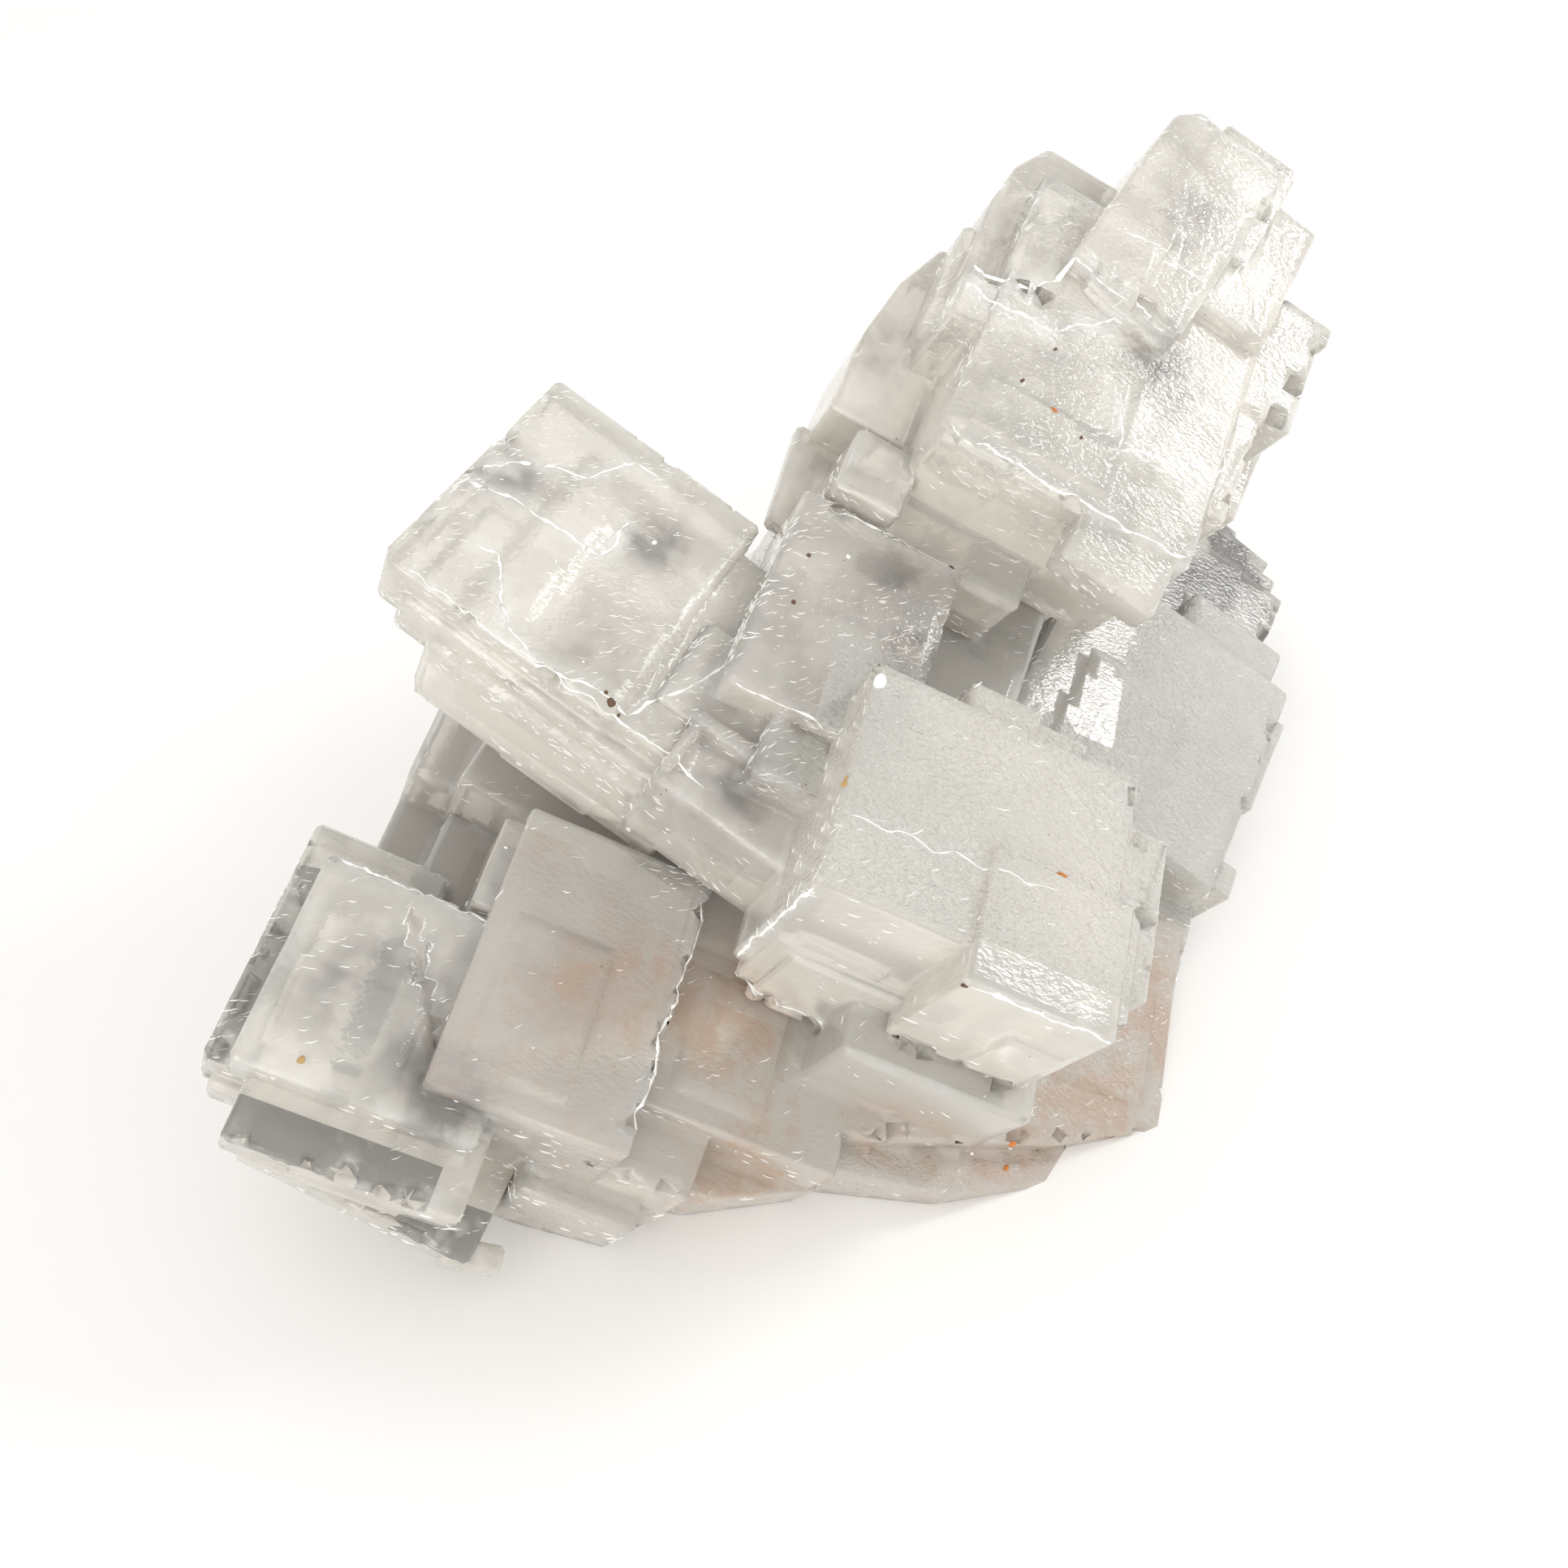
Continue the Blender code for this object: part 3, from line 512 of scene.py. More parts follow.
def write_finish(mesh, ridges, valleys, reach):
    """Stores each crystal's finish on its faces, and patches, veins and the nearness to the outer edges and
    to the valleys on the vertices.
    """
    centres = np.array([face.center for face in mesh.polygons])
    normals = np.array([face.normal for face in mesh.polygons])
    finish = crystal_values(centres, normals)
    finish[:, FINISH_NAMES.index("scratches")] *= centres[:, 2] > DUST_FLOOR
    for column, name in enumerate(FINISH_NAMES):
        store(mesh, name, "FACE", finish[:, column])
    places = np.array([vertex.co for vertex in mesh.vertices])
    soft = {kind: np.zeros(len(places)) for kind in ("milk", "smoke", "clay")}
    for patch in PATCHES:
        distance = np.linalg.norm(places - np.array(lattice_point(patch.lattice, patch.at)), axis=1)
        soft[patch.kind] += patch.strength * nearness(distance, patch.radius * PATCH_SPREAD * MM)
    for kind, values in soft.items():
        store(mesh, "soft_" + kind, "POINT", values)
    vein_values = np.zeros(len(places))
    for vein in VEINS:
        points = [np.array(lattice_point(vein.lattice, at)) for at in vein.points]
        for start, end in zip(points, points[1:]):
            distance = distance_to_stretch(places, start, end)
            line = vein.strength * nearness(distance, vein.width * VEIN_SPREAD * MM)
            vein_values = np.maximum(vein_values, line)
    store(mesh, "vein", "POINT", vein_values)
    # Nearness to the outer edges, which nibbles them and whitens them partly as chipped salt and partly as a
    # painted highlight.
    store(mesh, "wear", "POINT", nearness(np.array([ridges.find(place)[2] for place in places]), reach))
    # Nearness to the valleys, which darkens the colour and gathers crumbs and dust.
    dirt = nearness(np.array([valleys.find(place)[2] for place in places]), reach)
    store(mesh, "dirt", "POINT", dirt)
    above = places[:, 2] > DUST_FLOOR
    store(mesh, "crumbs", "POINT", above * (OPEN_CRUMBS + dirt))
    store(mesh, "dust", "POINT", above * (OPEN_DUST + (1.0 - OPEN_DUST) * dirt))


def weather(shape, ridges, undulation, nibble, reach):
    """Lets the faces swell and sink a little, and nibbles the outer edges. The resting face stays flat."""
    moves = []
    for vertex in shape.verts:
        if vertex.co.z < RESTING_BAND:
            moves.append(Vector())
            continue
        swell = noise.noise(vertex.co * SWELL_SCALE) * undulation
        wear = nearness(ridges.find(vertex.co)[2], reach * 0.5)
        bite = max(0.0, noise.noise(vertex.co * NIBBLE_SCALE)) * nibble * wear
        moves.append(vertex.normal * (swell * (1.0 - wear) - bite))
    for vertex, move in zip(shape.verts, moves):
        vertex.co += move


# Shader node groups


def new_group(name, inputs, outputs):
    """A shader node group with its named sockets, and its input and output nodes."""
    tree = bpy.data.node_groups.new(name, "ShaderNodeTree")
    for socket_name, kind in inputs:
        tree.interface.new_socket(socket_name, in_out="INPUT", socket_type="NodeSocket" + kind)
    for socket_name, kind in outputs:
        tree.interface.new_socket(socket_name, in_out="OUTPUT", socket_type="NodeSocket" + kind)
    return tree, tree.nodes.new("NodeGroupInput"), tree.nodes.new("NodeGroupOutput")


def maths(tree, operation, a, b, clamp=False):
    """One calculation on two values, each a socket or a number."""
    node = tree.nodes.new("ShaderNodeMath")
    node.operation = operation
    node.use_clamp = clamp
    for socket, value in zip(node.inputs, (a, b)):
        if isinstance(value, bpy.types.NodeSocket):
            tree.links.new(value, socket)
        else:
            socket.default_value = value
    return node.outputs[0]


def window(tree, value, low, high, bottom=0.0, top=1.0):
    """A smooth step of a value between two limits."""
    node = tree.nodes.new("ShaderNodeMapRange")
    node.interpolation_type = "SMOOTHSTEP"
    tree.links.new(value, node.inputs["Value"])
    for name, limit in (("From Min", low), ("From Max", high), ("To Min", bottom), ("To Max", top)):
        node.inputs[name].default_value = limit
    return node.outputs["Result"]


def noise_texture(tree, vector, scale, detail, roughness=0.55):
    """A soft noise whose scale is in waves to a metre."""
    node = tree.nodes.new("ShaderNodeTexNoise")
    tree.links.new(vector, node.inputs["Vector"])
    node.inputs["Scale"].default_value = scale
    node.inputs["Detail"].default_value = detail
    node.inputs["Roughness"].default_value = roughness
    return node


def stretched(tree, vector, turn, scale):
    """The same place turned about the lattice's z and stretched, so a pattern runs one way."""
    node = tree.nodes.new("ShaderNodeMapping")
    node.vector_type = "POINT"
    tree.links.new(vector, node.inputs["Vector"])
    node.inputs["Rotation"].default_value = (0.0, 0.0, turn)
    node.inputs["Scale"].default_value = scale
    return node.outputs["Vector"]


def blended(tree, share, first, second):
    """A colour mix; either side is a socket or a colour."""
    node = tree.nodes.new("ShaderNodeMix")
    node.data_type = "RGBA"
    tree.links.new(share, node.inputs["Factor"])
    for name, value in (("A", first), ("B", second)):
        socket = next(item for item in node.inputs if item.name == name and item.type == "RGBA")
        if isinstance(value, bpy.types.NodeSocket):
            tree.links.new(value, socket)
        else:
            socket.default_value = value
    return next(item for item in node.outputs if item.type == "RGBA")


def lattice_space_group():
    """Turns object coordinates into the main lattice's directions, so patterns follow the cubes."""
    tree, entry, leave = new_group("lattice space", [("Place", "Vector")], [("Vector", "Vector")])
    node = tree.nodes.new("ShaderNodeMapping")
    node.vector_type = "TEXTURE"
    node.inputs["Rotation"].default_value = [math.radians(angle) for angle in LATTICE_TILT]
    tree.links.new(entry.outputs["Place"], node.inputs["Vector"])
    tree.links.new(node.outputs["Vector"], leave.inputs["Vector"])
    return tree


def haze_group():
    """Clouds: a soft grey one that is partly fluid inclusions and partly painted dark refraction, and a
    curdled one for milk.
    """
    clouds = [("Smoke", "Float"), ("Milk", "Float")]
    tree, entry, leave = new_group("inclusion haze", [("Vector", "Vector")], clouds)
    vector = entry.outputs["Vector"]
    smoke = noise_texture(tree, vector, SMOKE_AND_DARK_REFRACTION_SCALE, detail=2.0, roughness=0.62)
    milk = noise_texture(tree, vector, MILK_SCALE, detail=3.0, roughness=0.62)
    tree.links.new(window(tree, smoke.outputs["Fac"], *SMOKE_AND_DARK_REFRACTION_LIMITS), leave.inputs["Smoke"])
    tree.links.new(window(tree, milk.outputs["Fac"], *MILK_LIMITS), leave.inputs["Milk"])
    return tree


def relief_group():
    """Height, in microns, of a scaly ripple and of raised veins."""
    reliefs = [("Vector", "Vector"), ("Ripple", "Float"), ("Vein", "Float")]
    tree, entry, leave = new_group("growth relief", reliefs, [("Height", "Float")])
    vector = entry.outputs["Vector"]
    along = stretched(tree, vector, RIPPLE_TURN, RIPPLE_SCALES)
    scales = noise_texture(tree, along, 1.0, detail=2.0, roughness=0.6)
    ripple_height = maths(tree, "MULTIPLY", scales.outputs["Fac"], RIPPLE_MICRONS)
    ripple = maths(tree, "MULTIPLY", ripple_height, entry.outputs["Ripple"])
    vein = maths(tree, "MULTIPLY", entry.outputs["Vein"], VEIN_MICRONS)
    tree.links.new(maths(tree, "ADD", ripple, vein), leave.inputs["Height"])
    return tree


def placed(tree, group, **links):
    """Puts a node group into a material and links its inputs by name."""
    node = tree.nodes.new("ShaderNodeGroup")
    node.node_tree = group
    for name, socket in links.items():
        tree.links.new(socket, node.inputs[name])
    return node


def stored(tree, name):
    """A finish value that the mesh carries."""
    node = tree.nodes.new("ShaderNodeAttribute")
    node.attribute_name = name
    return node.outputs["Fac"]


def clouded(tree, kind, cloud):
    """One finish value under its cloud pattern, with its soft patches added."""
    even = maths(tree, "MULTIPLY", stored(tree, kind), window(tree, cloud, 0.0, 1.0, *CLOUD_RANGES[kind]))
    patches = window(tree, cloud, 0.0, 1.0, *SOFT_RANGE)
    soft = maths(tree, "MULTIPLY", stored(tree, "soft_" + kind), patches)
    return maths(tree, "ADD", even, soft, clamp=True)


def halite_material(settings):
    """Clear salt with haze and painted dark refraction, stains, veins, outer edges whitened partly as chipped
    salt and partly as a painted highlight, darkening near the valleys, and a volume that tints what is deep.
    """
    material = bpy.data.materials.new("halite crystal")
    material.use_nodes = True
    tree = material.node_tree
    shader = tree.nodes["Principled BSDF"]
    output = tree.nodes["Material Output"]
    place = tree.nodes.new("ShaderNodeTexCoord").outputs["Object"]
    vector = placed(tree, lattice_space_group(), Place=place).outputs["Vector"]
    haze = placed(tree, haze_group(), Vector=vector)
    cloud = haze.outputs["Milk"]

    milk = clouded(tree, "milk", cloud)
    smoke = clouded(tree, "smoke", haze.outputs["Smoke"])
    clay = clouded(tree, "clay", cloud)
    vein = maths(tree, "MULTIPLY", stored(tree, "vein"), window(tree, cloud, 0.0, 0.8, *VEIN_RANGE))
    relief = placed(tree, relief_group(), Vector=vector, Ripple=stored(tree, "ripple"), Vein=vein)
    # Whitening near the outer edges: partly chipped salt, partly a painted edge highlight.
    wear = maths(tree, "MULTIPLY", stored(tree, "wear"), window(tree, cloud, 0.1, 0.9, *EDGE_WHITENING_RANGE))

    colour = blended(tree, milk, tuple(settings.salt_colour), tuple(settings.milk_colour))
    # Grey smoke, partly haze and partly painted dark refraction.
    smoke_and_dark_refraction_share = maths(tree, "MULTIPLY", smoke, SMOKE_AND_DARK_REFRACTION_COVER)
    colour = blended(tree, smoke_and_dark_refraction_share, colour, tuple(settings.smoke_and_dark_refraction_colour))
    stained = maths(tree, "MULTIPLY", clay, CLAY_COVER)
    colour = blended(tree, stained, colour, tuple(settings.clay_colour))
    # Darker near the valleys between crystals.
    dirt = maths(tree, "MULTIPLY", stored(tree, "dirt"), VALLEY_DARK_COVER)
    colour = blended(tree, dirt, colour, VALLEY_DARK_COLOUR)
    # White over the veins and the outer edges; on the edges it is partly a painted highlight.
    white = maths(tree, "MAXIMUM", wear, vein, clamp=True)
    colour = blended(tree, white, colour, EDGE_AND_VEIN_WHITE)
    tree.links.new(colour, shader.inputs["Base Color"])

    rough = maths(tree, "ADD", maths(tree, "MULTIPLY", milk, MILK_ROUGHNESS), CLEAR_ROUGHNESS)
    rough = maths(tree, "ADD", rough, maths(tree, "MULTIPLY", white, WORN_ROUGHNESS), clamp=True)
    tree.links.new(rough, shader.inputs["Roughness"])

    bump = tree.nodes.new("ShaderNodeBump")
    bump.inputs["Strength"].default_value = 1.0
    bump.inputs["Distance"].default_value = MICRON
    tree.links.new(relief.outputs["Height"], bump.inputs["Height"])
    tree.links.new(bump.outputs["Normal"], shader.inputs["Normal"])

    shader.inputs["Metallic"].default_value = 0.0
    shader.inputs["Transmission Weight"].default_value = settings.transmission
    shader.inputs["IOR"].default_value = settings.refraction
    absorption = tree.nodes.new("ShaderNodeVolumeAbsorption")
    absorption.inputs["Color"].default_value = ABSORPTION_COLOUR
    absorption.inputs["Density"].default_value = settings.absorption
    tree.links.new(absorption.outputs["Volume"], output.inputs["Volume"])
    return material


def plain_material(name):
    """One flat finish, for the small things and the floor."""
    colour, roughness = PLAIN_FINISHES[name]
    material = bpy.data.materials.new(name)
    material.use_nodes = True
    shader = material.node_tree.nodes["Principled BSDF"]
    shader.inputs["Base Color"].default_value = colour
    shader.inputs["Roughness"].default_value = roughness
    return material


def new_object(name, data):
    """A new object, linked into the scene."""
    item = bpy.data.objects.new(name, data)
    bpy.context.scene.collection.objects.link(item)
    return item


# Scattering small things with geometry nodes


def typed(sockets, name, kind):
    """The socket of one name and one type, where a node keeps several of the same name."""
    return next(item for item in sockets if item.name == name and item.type == kind)


def scatter_group():
    """Scatters copies of a shape over the crystal faces, thick where the surface asks for it."""
    tree = bpy.data.node_groups.new("scatter on faces", "GeometryNodeTree")
    wanted = (
        ("Geometry", "Geometry"),
        ("Surface", "Object"),
        ("Shape", "Object"),
        ("Where", "String"),
        ("Density", "Float"),
        ("Patchiness", "Float"),
        ("Along", "Vector"),
        ("Turn", "Vector"),
        ("Smallest", "Vector"),
        ("Largest", "Vector"),
        ("Seed", "Int"),
        ("Material", "Material"),
    )
    for name, kind in wanted:
        tree.interface.new_socket(name, in_out="INPUT", socket_type="NodeSocket" + kind)
    tree.interface.new_socket("Geometry", in_out="OUTPUT", socket_type="NodeSocketGeometry")
    new, link = tree.nodes.new, tree.links.new
    entry = new("NodeGroupInput").outputs
    surface = new("GeometryNodeObjectInfo")
    link(entry["Surface"], surface.inputs["Object"])
    shape = new("GeometryNodeObjectInfo")
    link(entry["Shape"], shape.inputs["Object"])

    where = new("GeometryNodeInputNamedAttribute")
    where.data_type = "FLOAT"
    link(entry["Where"], where.inputs["Name"])
    patches = noise_texture(tree, new("GeometryNodeInputPosition").outputs["Position"], 1.0, detail=2.0)
    link(entry["Patchiness"], patches.inputs["Scale"])
    patch = window(tree, patches.outputs["Fac"], *SCATTER_LIMITS)
    amount = maths(tree, "MULTIPLY", typed(where.outputs, "Attribute", "VALUE"), entry["Density"])
    points = new("GeometryNodeDistributePointsOnFaces")
    link(surface.outputs["Geometry"], points.inputs["Mesh"])
    link(maths(tree, "MULTIPLY", amount, patch), points.inputs["Density"])
    link(entry["Seed"], points.inputs["Seed"])

    facing = new("FunctionNodeAxesToRotation")
    facing.primary_axis = "Z"
    facing.secondary_axis = "X"
    link(points.outputs["Normal"], facing.inputs["Primary Axis"])
    link(entry["Along"], facing.inputs["Secondary Axis"])
    turn = new("FunctionNodeRandomValue")
    turn.data_type = "FLOAT_VECTOR"
    opposite = new("ShaderNodeVectorMath")
    opposite.operation = "SCALE"
    opposite.inputs["Scale"].default_value = -1.0
    link(entry["Turn"], opposite.inputs["Vector"])
    link(opposite.outputs["Vector"], typed(turn.inputs, "Min", "VECTOR"))
    link(entry["Turn"], typed(turn.inputs, "Max", "VECTOR"))
    euler = new("FunctionNodeEulerToRotation")
    link(typed(turn.outputs, "Value", "VECTOR"), euler.inputs["Euler"])
    turned = new("FunctionNodeRotateRotation")
    turned.rotation_space = "LOCAL"
    link(facing.outputs["Rotation"], turned.inputs["Rotation"])
    link(euler.outputs["Rotation"], turned.inputs["Rotate By"])

    size = new("FunctionNodeRandomValue")
    size.data_type = "FLOAT_VECTOR"
    link(entry["Smallest"], typed(size.inputs, "Min", "VECTOR"))
    link(entry["Largest"], typed(size.inputs, "Max", "VECTOR"))
    copies = new("GeometryNodeInstanceOnPoints")
    link(points.outputs["Points"], copies.inputs["Points"])
    link(shape.outputs["Geometry"], copies.inputs["Instance"])
    link(turned.outputs["Rotation"], copies.inputs["Rotation"])
    link(typed(size.outputs, "Value", "VECTOR"), copies.inputs["Scale"])
    real = new("GeometryNodeRealizeInstances")
    link(copies.outputs["Instances"], real.inputs["Geometry"])
    finish = new("GeometryNodeSetMaterial")
    link(real.outputs["Geometry"], finish.inputs["Geometry"])
    link(entry["Material"], finish.inputs["Material"])
    link(finish.outputs["Geometry"], new("NodeGroupOutput").inputs["Geometry"])
    return tree


def scattered(name, shape, values):
    """Runs the scatter group once on the cluster and keeps its result as a plain mesh."""
    tree = bpy.data.node_groups.get("scatter on faces") or scatter_group()
    carrier = new_object(name + " carrier", bpy.data.meshes.new(name + " carrier"))
    modifier = carrier.modifiers.new("scatter", "NODES")
    modifier.node_group = tree
    values = {"Surface": bpy.data.objects[CLUSTER_NAME], "Shape": shape, **values}
    for socket in tree.interface.items_tree:
        if socket.in_out == "INPUT" and socket.name in values:
            modifier[socket.identifier] = values[socket.name]
    bpy.context.view_layer.update()
    graph = bpy.context.evaluated_depsgraph_get()
    mesh = bpy.data.meshes.new_from_object(carrier.evaluated_get(graph), depsgraph=graph)
    mesh.name = name
    carrier.modifiers.remove(modifier)
    bpy.data.objects.remove(carrier)
    bpy.data.objects.remove(shape)
    if not mesh.materials:
        mesh.materials.append(values["Material"])
    return finished(name, mesh)


def finished(name, mesh):
    piece = new_object(name, mesh)
    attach(piece, BODY)
    print(name, len(mesh.polygons), "faces")
    return piece


def kept_mesh(name, shape):
    """Turns a finished bmesh into a mesh."""
    mesh = bpy.data.meshes.new(name)
    shape.to_mesh(mesh)
    shape.free()
    return mesh


def shape_object(name, build):
    """A bare object from a function that fills a bmesh, for scattering."""
    shape = bmesh.new()
    build(shape)
    return new_object(name, kept_mesh(name, shape))


def ridge_shape(shape):
    """A millimetre of wavy, tapered ridge that lies along x, with its foot in the salt."""
    stations = ((-0.24, 0.022, 0.8), (0.04, -0.018, 1.0), (0.27, 0.012, 0.7))
    start = shape.verts.new((-0.5 * MM, 0.0, -RIDGE_FOOT))
    end = shape.verts.new((0.5 * MM, -0.01 * MM, -RIDGE_FOOT))
    rings = []
    for along, side, share in stations:
        x, y, half = along * MM, side * MM, RIDGE_HALF_WIDTH * share
        left = shape.verts.new((x, y + half, -RIDGE_FOOT))
        right = shape.verts.new((x, y - half, -RIDGE_FOOT))
        top = shape.verts.new((x, y, RIDGE_HEIGHT * share))
        rings.append((left, top, right))
    for first, second in zip(rings, rings[1:]):
        for index in range(3):
            after = (index + 1) % 3
            shape.faces.new((first[index], second[index], second[after], first[after]))
    for index in range(3):
        after = (index + 1) % 3
        shape.faces.new((start, rings[0][index], rings[0][after]))
        shape.faces.new((end, rings[-1][after], rings[-1][index]))
    bmesh.ops.recalc_face_normals(shape, faces=shape.faces)


def crumb_shape(shape):
    """A one-millimetre salt cube that sits a third of its height in the face."""
    bmesh.ops.create_cube(shape, size=1.0 * MM)
    bmesh.ops.translate(shape, verts=shape.verts, vec=(0.0, 0.0, CRUMB_LIFT))


def speck_shape(shape):
    """A lumpy one-millimetre grain."""
    bmesh.ops.create_icosphere(shape, subdivisions=1, radius=0.5 * MM)
    for vertex in shape.verts:
        vertex.co *= 1.0 + SPECK_LUMP * noise.noise(vertex.co * SPECK_LUMP_SCALE)


# Pieces


class HALITE_OT_cluster(bpy.types.Operator):
    """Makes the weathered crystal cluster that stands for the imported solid"""

    bl_idname = "halite.cluster"
    bl_label = "Crystal cluster"

    def execute(self, context):
        settings = context.scene.halite
        shape = merged_copy(CLUSTER_NODE)
        ridges, valleys = edge_trees(shape, EDGE_STEP)
        slice_on_lattice(shape, settings.grain)
        shape.normal_update()
        weather(shape, ridges, settings.undulation, settings.edge_nibble, settings.edge_reach)
        mesh = kept_mesh("crystal cluster", shape)
        write_finish(mesh, ridges, valleys, settings.edge_reach)
        mesh.materials.append(halite_material(settings))
        mesh.shade_smooth()
        mesh.set_sharp_from_angle(angle=SMOOTH_ANGLE)
        cluster = finished(CLUSTER_NAME, mesh)
        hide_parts(CLUSTER_NODE)
        return {"FINISHED"}


class HALITE_OT_ridges(bpy.types.Operator):
    """Scatters the short wavy ridges that cover the scratched faces"""

    bl_idname = "halite.ridges"
    bl_label = "Scratch ridges"

    def execute(self, context):
        settings = context.scene.halite
        centre = lattice_point("west", (0.0, 0.0, 0.0))
        along = (lattice_point("west", RIDGE_DIRECTION) - centre).normalized()
        values = {
            "Where": "scratches",
            "Density": settings.ridge_density,
            "Patchiness": RIDGE_PATCHES,
            "Along": tuple(along),
            "Turn": (0.0, 0.0, 0.45),
            "Smallest": (0.15, 0.4, 0.4),
            "Largest": (1.30, 1.4, 1.2),
            "Seed": settings.seed,
            "Material": plain_material("ridge salt"),
        }
        scattered("scratch_ridges", shape_object("ridge", ridge_shape), values)
        return {"FINISHED"}


class HALITE_OT_veins(bpy.types.Operator):
    """Lays a thin white ridge along every healed crack"""

    bl_idname = "halite.veins"
    bl_label = "Healed cracks"

    def execute(self, context):
        cluster = bpy.data.objects[CLUSTER_NAME]
        context.view_layer.update()
        # Noise vectors follow the clock until they are seeded.
        noise.seed_set(context.scene.halite.seed)
        shape = bmesh.new()
        for vein in VEINS:
            points = [lattice_point(vein.lattice, at) for at in vein.points]
            for start, end in zip(points, points[1:]):
                lay_ridge(shape, cluster, start, end, vein.strength)
        mesh = kept_mesh("healed cracks", shape)
        mesh.materials.append(plain_material("vein salt"))
        finished("healed_cracks", mesh)
        return {"FINISHED"}


def lay_ridge(shape, cluster, start, end, strength):
    """One closed wandering ridge on the faces under a straight stretch, thick and thin by turns."""
    count = max(4, math.ceil((end - start).length / VEIN_STEP))
    rings = []
    for index in range(count + 1):
        place = start.lerp(end, index / count)
        sway = Vector(noise.noise_vector(place * VEIN_SWAY_SCALE)) * VEIN_SWAY
        _, foot, normal, _ = cluster.closest_point_on_mesh(place + sway)
        across = (end - start).cross(normal).normalized()
        thin = VEIN_THINNEST + VEIN_SWELL * abs(noise.noise(place * VEIN_GAP_SCALE))
        tip = VEIN_TIP if index in (0, count) else 1.0
        half = across * VEIN_HALF_WIDTH * strength * thin * tip
        sunk = foot - normal * RIDGE_FOOT
        top = foot + normal * RIDGE_HEIGHT * thin * tip
        rings.append([shape.verts.new(corner) for corner in (sunk + half, top, sunk - half)])
    for first, second in zip(rings, rings[1:]):
        for index in range(3):
            after = (index + 1) % 3
            shape.faces.new((first[index], first[after], second[after], second[index]))
    shape.faces.new(reversed(rings[0]))
    shape.faces.new(rings[-1])


class HALITE_OT_crumbs(bpy.types.Operator):
    """Scatters small salt cubes that have grown or stuck along the valleys"""

    bl_idname = "halite.crumbs"
    bl_label = "Salt crumbs"

    def execute(self, context):
        settings = context.scene.halite
        values = {
            "Where": "crumbs",
            "Density": settings.crumb_density,
            "Patchiness": CRUMB_PATCHES,
            "Along": tuple(LATTICES["main"].to_3x3().col[0].normalized()),
            "Turn": (0.15, 0.15, 0.5),
            "Smallest": (0.08, 0.08, 0.06),
            "Largest": (0.26, 0.26, 0.18),
            "Seed": settings.seed + 1,
            "Material": plain_material("crumb salt"),
        }
        scattered("salt_crumbs", shape_object("crumb", crumb_shape), values)
        return {"FINISHED"}


class HALITE_OT_dust(bpy.types.Operator):
    """Scatters fine brown dust grains"""

    bl_idname = "halite.dust"
    bl_label = "Dust"

    def execute(self, context):
        settings = context.scene.halite
        values = {
            "Where": "dust",
            "Density": settings.dust_density,
            "Patchiness": DUST_PATCHES,
            "Along": (1.0, 0.0, 0.0),
            "Turn": (0.3, 0.3, 3.1),
            "Smallest": (0.06, 0.05, 0.04),
            "Largest": (0.17, 0.13, 0.09),
            "Seed": settings.seed + 2,
            "Material": plain_material("brown dust"),
        }
        scattered("dust_grains", shape_object("speck", speck_shape), values)
        return {"FINISHED"}


class HALITE_OT_grains(bpy.types.Operator):
    """Sets each larger rust, umber, ochre and chalk grain on its own spot"""

    bl_idname = "halite.grains"
    bl_label = "Foreign grains"

    def execute(self, context):
        cluster = bpy.data.objects[CLUSTER_NAME]
        context.view_layer.update()
        for kind in GRAIN_KINDS:
            shape = bmesh.new()
            for grain in GRAINS:
                if grain.kind == kind:
                    set_grain(shape, cluster, grain)
            mesh = kept_mesh(kind + " grains", shape)
            mesh.materials.append(plain_material(kind))
            mesh.shade_smooth()
            finished(kind + "_grains", mesh)
        return {"FINISHED"}


def set_grain(shape, cluster, grain):
    """Adds one lumpy grain, sunk a little into the nearest face."""
    _, place, normal, _ = cluster.closest_point_on_mesh(lattice_point(grain.lattice, grain.at))
    upright = normal.to_track_quat("Z", "Y").to_matrix().to_4x4()
    made = bmesh.ops.create_icosphere(shape, subdivisions=2, radius=0.5 * MM * grain.size)
    for vertex in made["verts"]:
        at = vertex.co * (GRAIN_LUMP_SCALE / grain.size) + place * GRAIN_VARIETY
        lump = 1.0 + GRAIN_LUMP * noise.noise(at)
        vertex.co = Vector([side * share for side, share in zip(vertex.co, GRAIN_SHAPE)]) * lump
    bmesh.ops.transform(shape, matrix=Matrix.Translation(place) @ upright, verts=made["verts"])


# Stage


# Soft boxes, with their direction from the aim, their distance and width in metres and their power in watts.
SoftBox = namedtuple("SoftBox", "name direction distance size power colour")
SOFT_BOXES = (
    SoftBox("key soft box", (0.80, 0.27, 0.55), 0.40, 0.10, 0.40, (1.0, 1.0, 1.0)),
    SoftBox("overhead soft box", (-0.25, 0.15, 1.0), 0.50, 0.45, 0.08, (1.0, 1.0, 1.0)),
    SoftBox("front fill", (-0.5, -0.9, 0.40), 0.60, 0.35, 0.95, (1.0, 0.955, 0.88)),
)
LIGHT_AIM = (0.0, 0.0, 0.02)

# The room: its colour at the horizon, and the one overhead, which starts at this height of the unit sphere.
HORIZON_COLOUR = (1.0, 0.985, 0.95, 1.0)
OVERHEAD_COLOUR = (0.50, 0.494, 0.48, 1.0)
OVERHEAD_START = 0.55
ROOM_STRENGTH = 1.75
FLOOR_WIDTH = 1.6

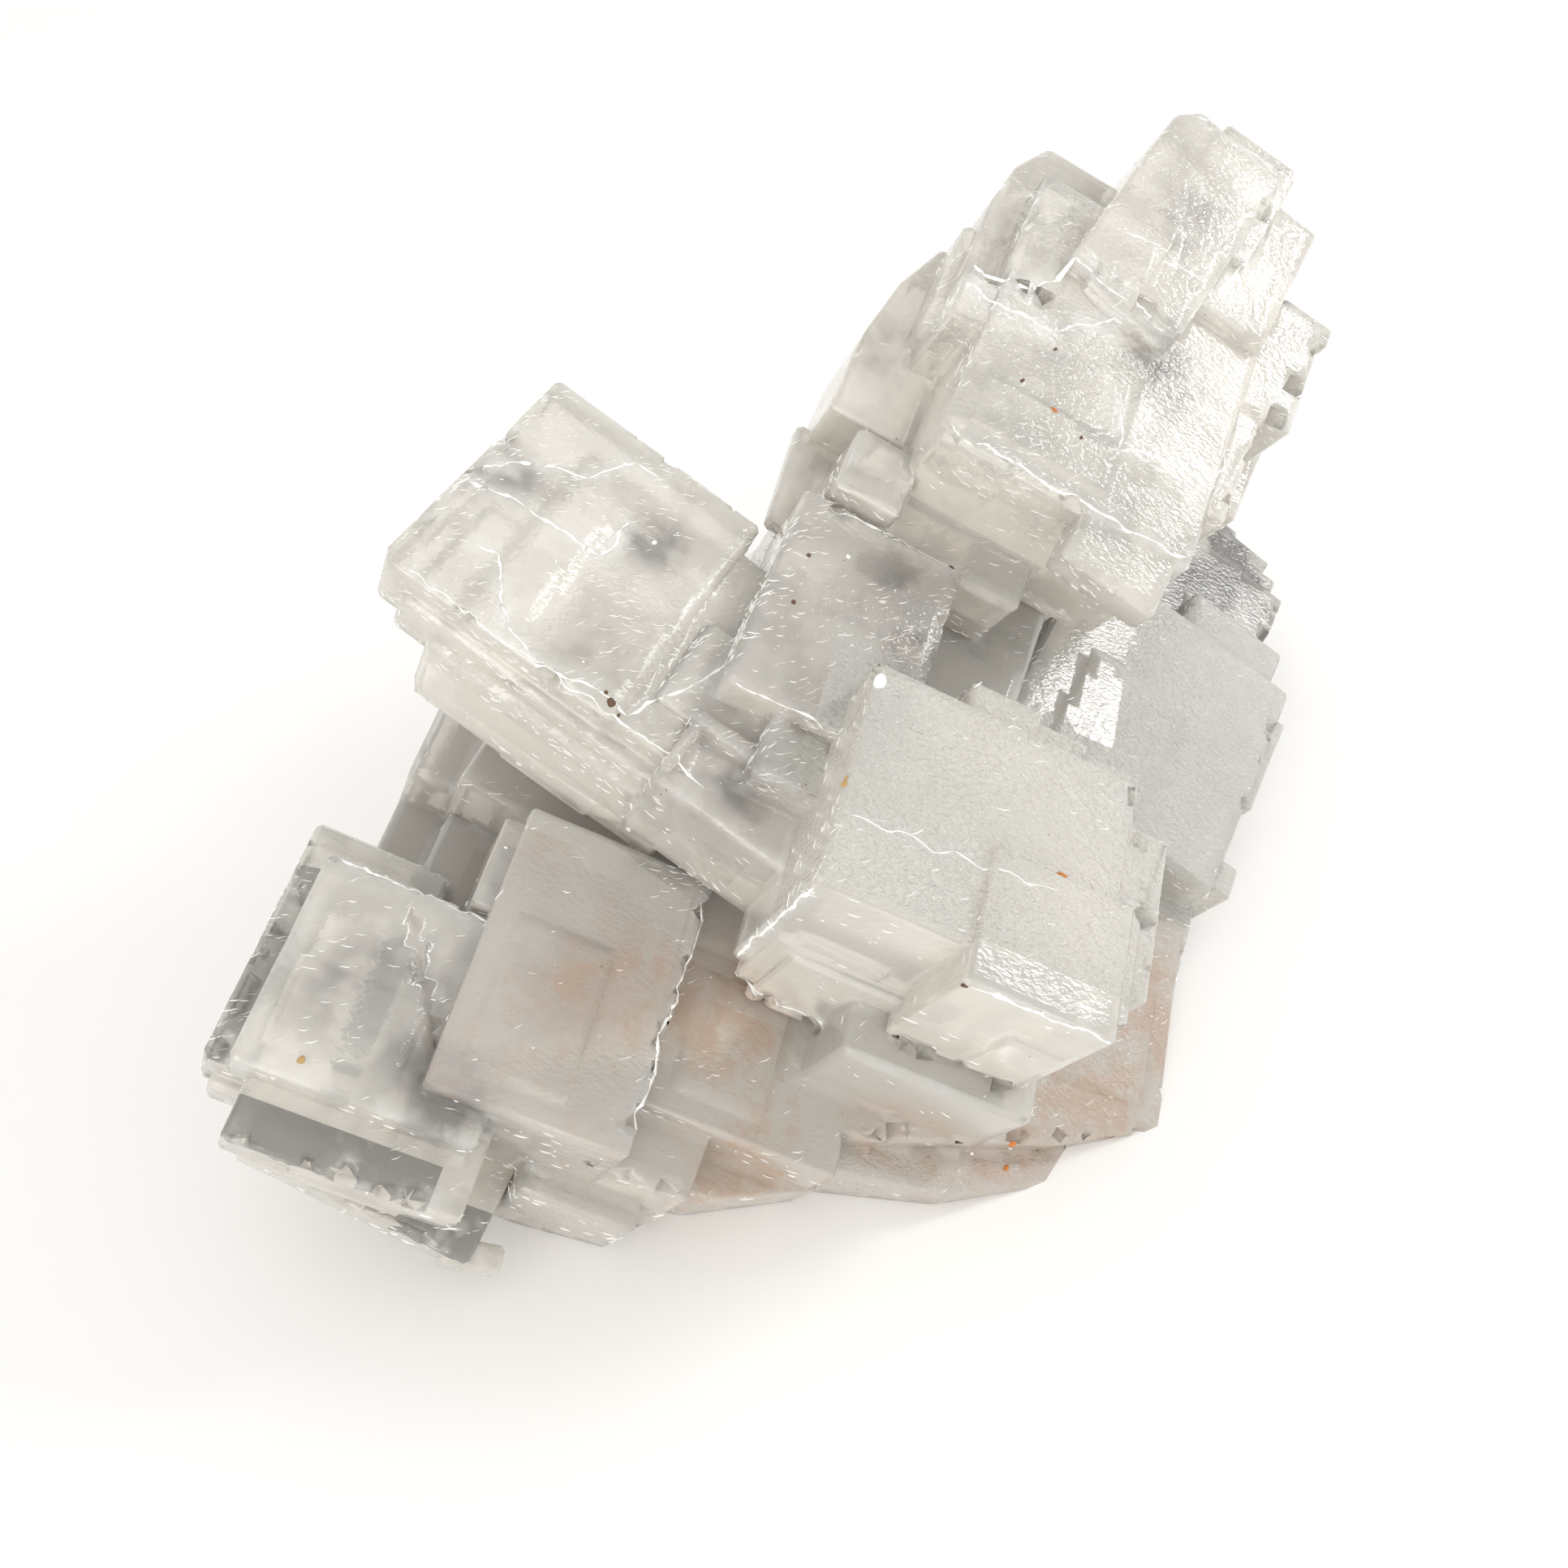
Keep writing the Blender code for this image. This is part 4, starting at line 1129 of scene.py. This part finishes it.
# The camera, in millimetres from the near cube's top corner, and its focal length in frame pixels.
CAMERA_OFFSET = (-5.85, -65.944, 61.731)
CAMERA_ELEVATION = 48.0
CAMERA_NEAR = 1.0 * MM
FOCAL_PIXELS = 1800.0
FRAME_PIXELS = 1932.0
SENSOR_WIDTH = 36.0


def area_light(box):
    """A soft box that looks at the cluster's middle from one direction."""
    light = bpy.data.lights.new(box.name, "AREA")
    light.shape = "SQUARE"
    light.size = box.size
    light.energy = box.power
    light.color = box.colour
    lamp = new_object(box.name, light)
    aim = Vector(LIGHT_AIM)
    lamp.location = aim + Vector(box.direction).normalized() * box.distance
    lamp.rotation_euler = (lamp.location - aim).to_track_quat("Z", "Y").to_euler()


def studio_camera():
    """A close camera that looks down on the near cube."""
    lens = bpy.data.cameras.new("studio camera")
    lens.sensor_width = SENSOR_WIDTH
    lens.lens = SENSOR_WIDTH * FOCAL_PIXELS / FRAME_PIXELS
    lens.clip_start = CAMERA_NEAR
    camera = new_object("studio camera", lens)
    camera.location = (Vector(NEAR_CORNER) + Vector(CAMERA_OFFSET)) * MM
    camera.rotation_euler = (math.radians(90.0 - CAMERA_ELEVATION), 0.0, 0.0)
    bpy.context.scene.camera = camera


def studio_world():
    """A pale room that is bright at the horizon and dimmer overhead."""
    world = bpy.data.worlds.new("studio")
    bpy.context.scene.world = world
    world.use_nodes = True
    tree = world.node_tree
    background = tree.nodes["Background"]
    place = tree.nodes.new("ShaderNodeTexCoord").outputs["Generated"]
    split = tree.nodes.new("ShaderNodeSeparateXYZ")
    tree.links.new(place, split.inputs[0])
    ramp = tree.nodes.new("ShaderNodeValToRGB")
    horizon, overhead = ramp.color_ramp.elements
    horizon.position = 0.0
    horizon.color = HORIZON_COLOUR
    overhead.position = OVERHEAD_START
    overhead.color = OVERHEAD_COLOUR
    tree.links.new(split.outputs["Z"], ramp.inputs["Fac"])
    tree.links.new(ramp.outputs["Color"], background.inputs["Color"])
    background.inputs["Strength"].default_value = ROOM_STRENGTH


def limit_bounces(cycles):
    """Deep enough for light to cross two crystals and come back, and no deeper, to save time."""
    cycles.max_bounces = 6
    cycles.transmission_bounces = 6
    cycles.diffuse_bounces = 3
    cycles.glossy_bounces = 2
    cycles.caustics_reflective = False


class HALITE_OT_stage(bpy.types.Operator):
    """Makes the pale floor, the soft lights, the room and the camera"""

    bl_idname = "halite.stage"
    bl_label = "Stage"

    def execute(self, context):
        bpy.ops.mesh.primitive_plane_add(size=FLOOR_WIDTH)
        floor = context.object
        floor.name = "floor"
        floor.data.materials.append(plain_material("pale floor"))
        for box in SOFT_BOXES:
            area_light(box)
        studio_camera()
        studio_world()
        context.scene.view_settings.view_transform = "Standard"
        limit_bounces(context.scene.cycles)
        return {"FINISHED"}


class HALITE_PT_panel(bpy.types.Panel):
    """Lists the cluster's pieces in the sidebar"""

    bl_label = "Halite cluster"
    bl_idname = "HALITE_PT_panel"
    bl_space_type = "VIEW_3D"
    bl_region_type = "UI"
    bl_category = "Halite"

    def draw(self, context):
        for name in HaliteSettings.__annotations__:
            self.layout.prop(context.scene.halite, name)
        for operator in OPERATORS:
            self.layout.operator(operator.bl_idname)


OPERATORS = (
    HALITE_OT_cluster,
    HALITE_OT_ridges,
    HALITE_OT_veins,
    HALITE_OT_crumbs,
    HALITE_OT_dust,
    HALITE_OT_grains,
    HALITE_OT_stage,
)
CLASSES = (HaliteSettings, *OPERATORS, HALITE_PT_panel)


def register():
    for item in CLASSES:
        bpy.utils.register_class(item)
    bpy.types.Scene.halite = PointerProperty(type=HaliteSettings)


def unregister():
    del bpy.types.Scene.halite
    for item in reversed(CLASSES):
        bpy.utils.unregister_class(item)


def main():
    register()
    bpy.ops.halite.cluster()
    bpy.ops.halite.ridges()
    bpy.ops.halite.veins()
    bpy.ops.halite.crumbs()
    bpy.ops.halite.dust()
    bpy.ops.halite.grains()
    bpy.ops.halite.stage()
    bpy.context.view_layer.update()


if __name__ == "__main__":
    main()
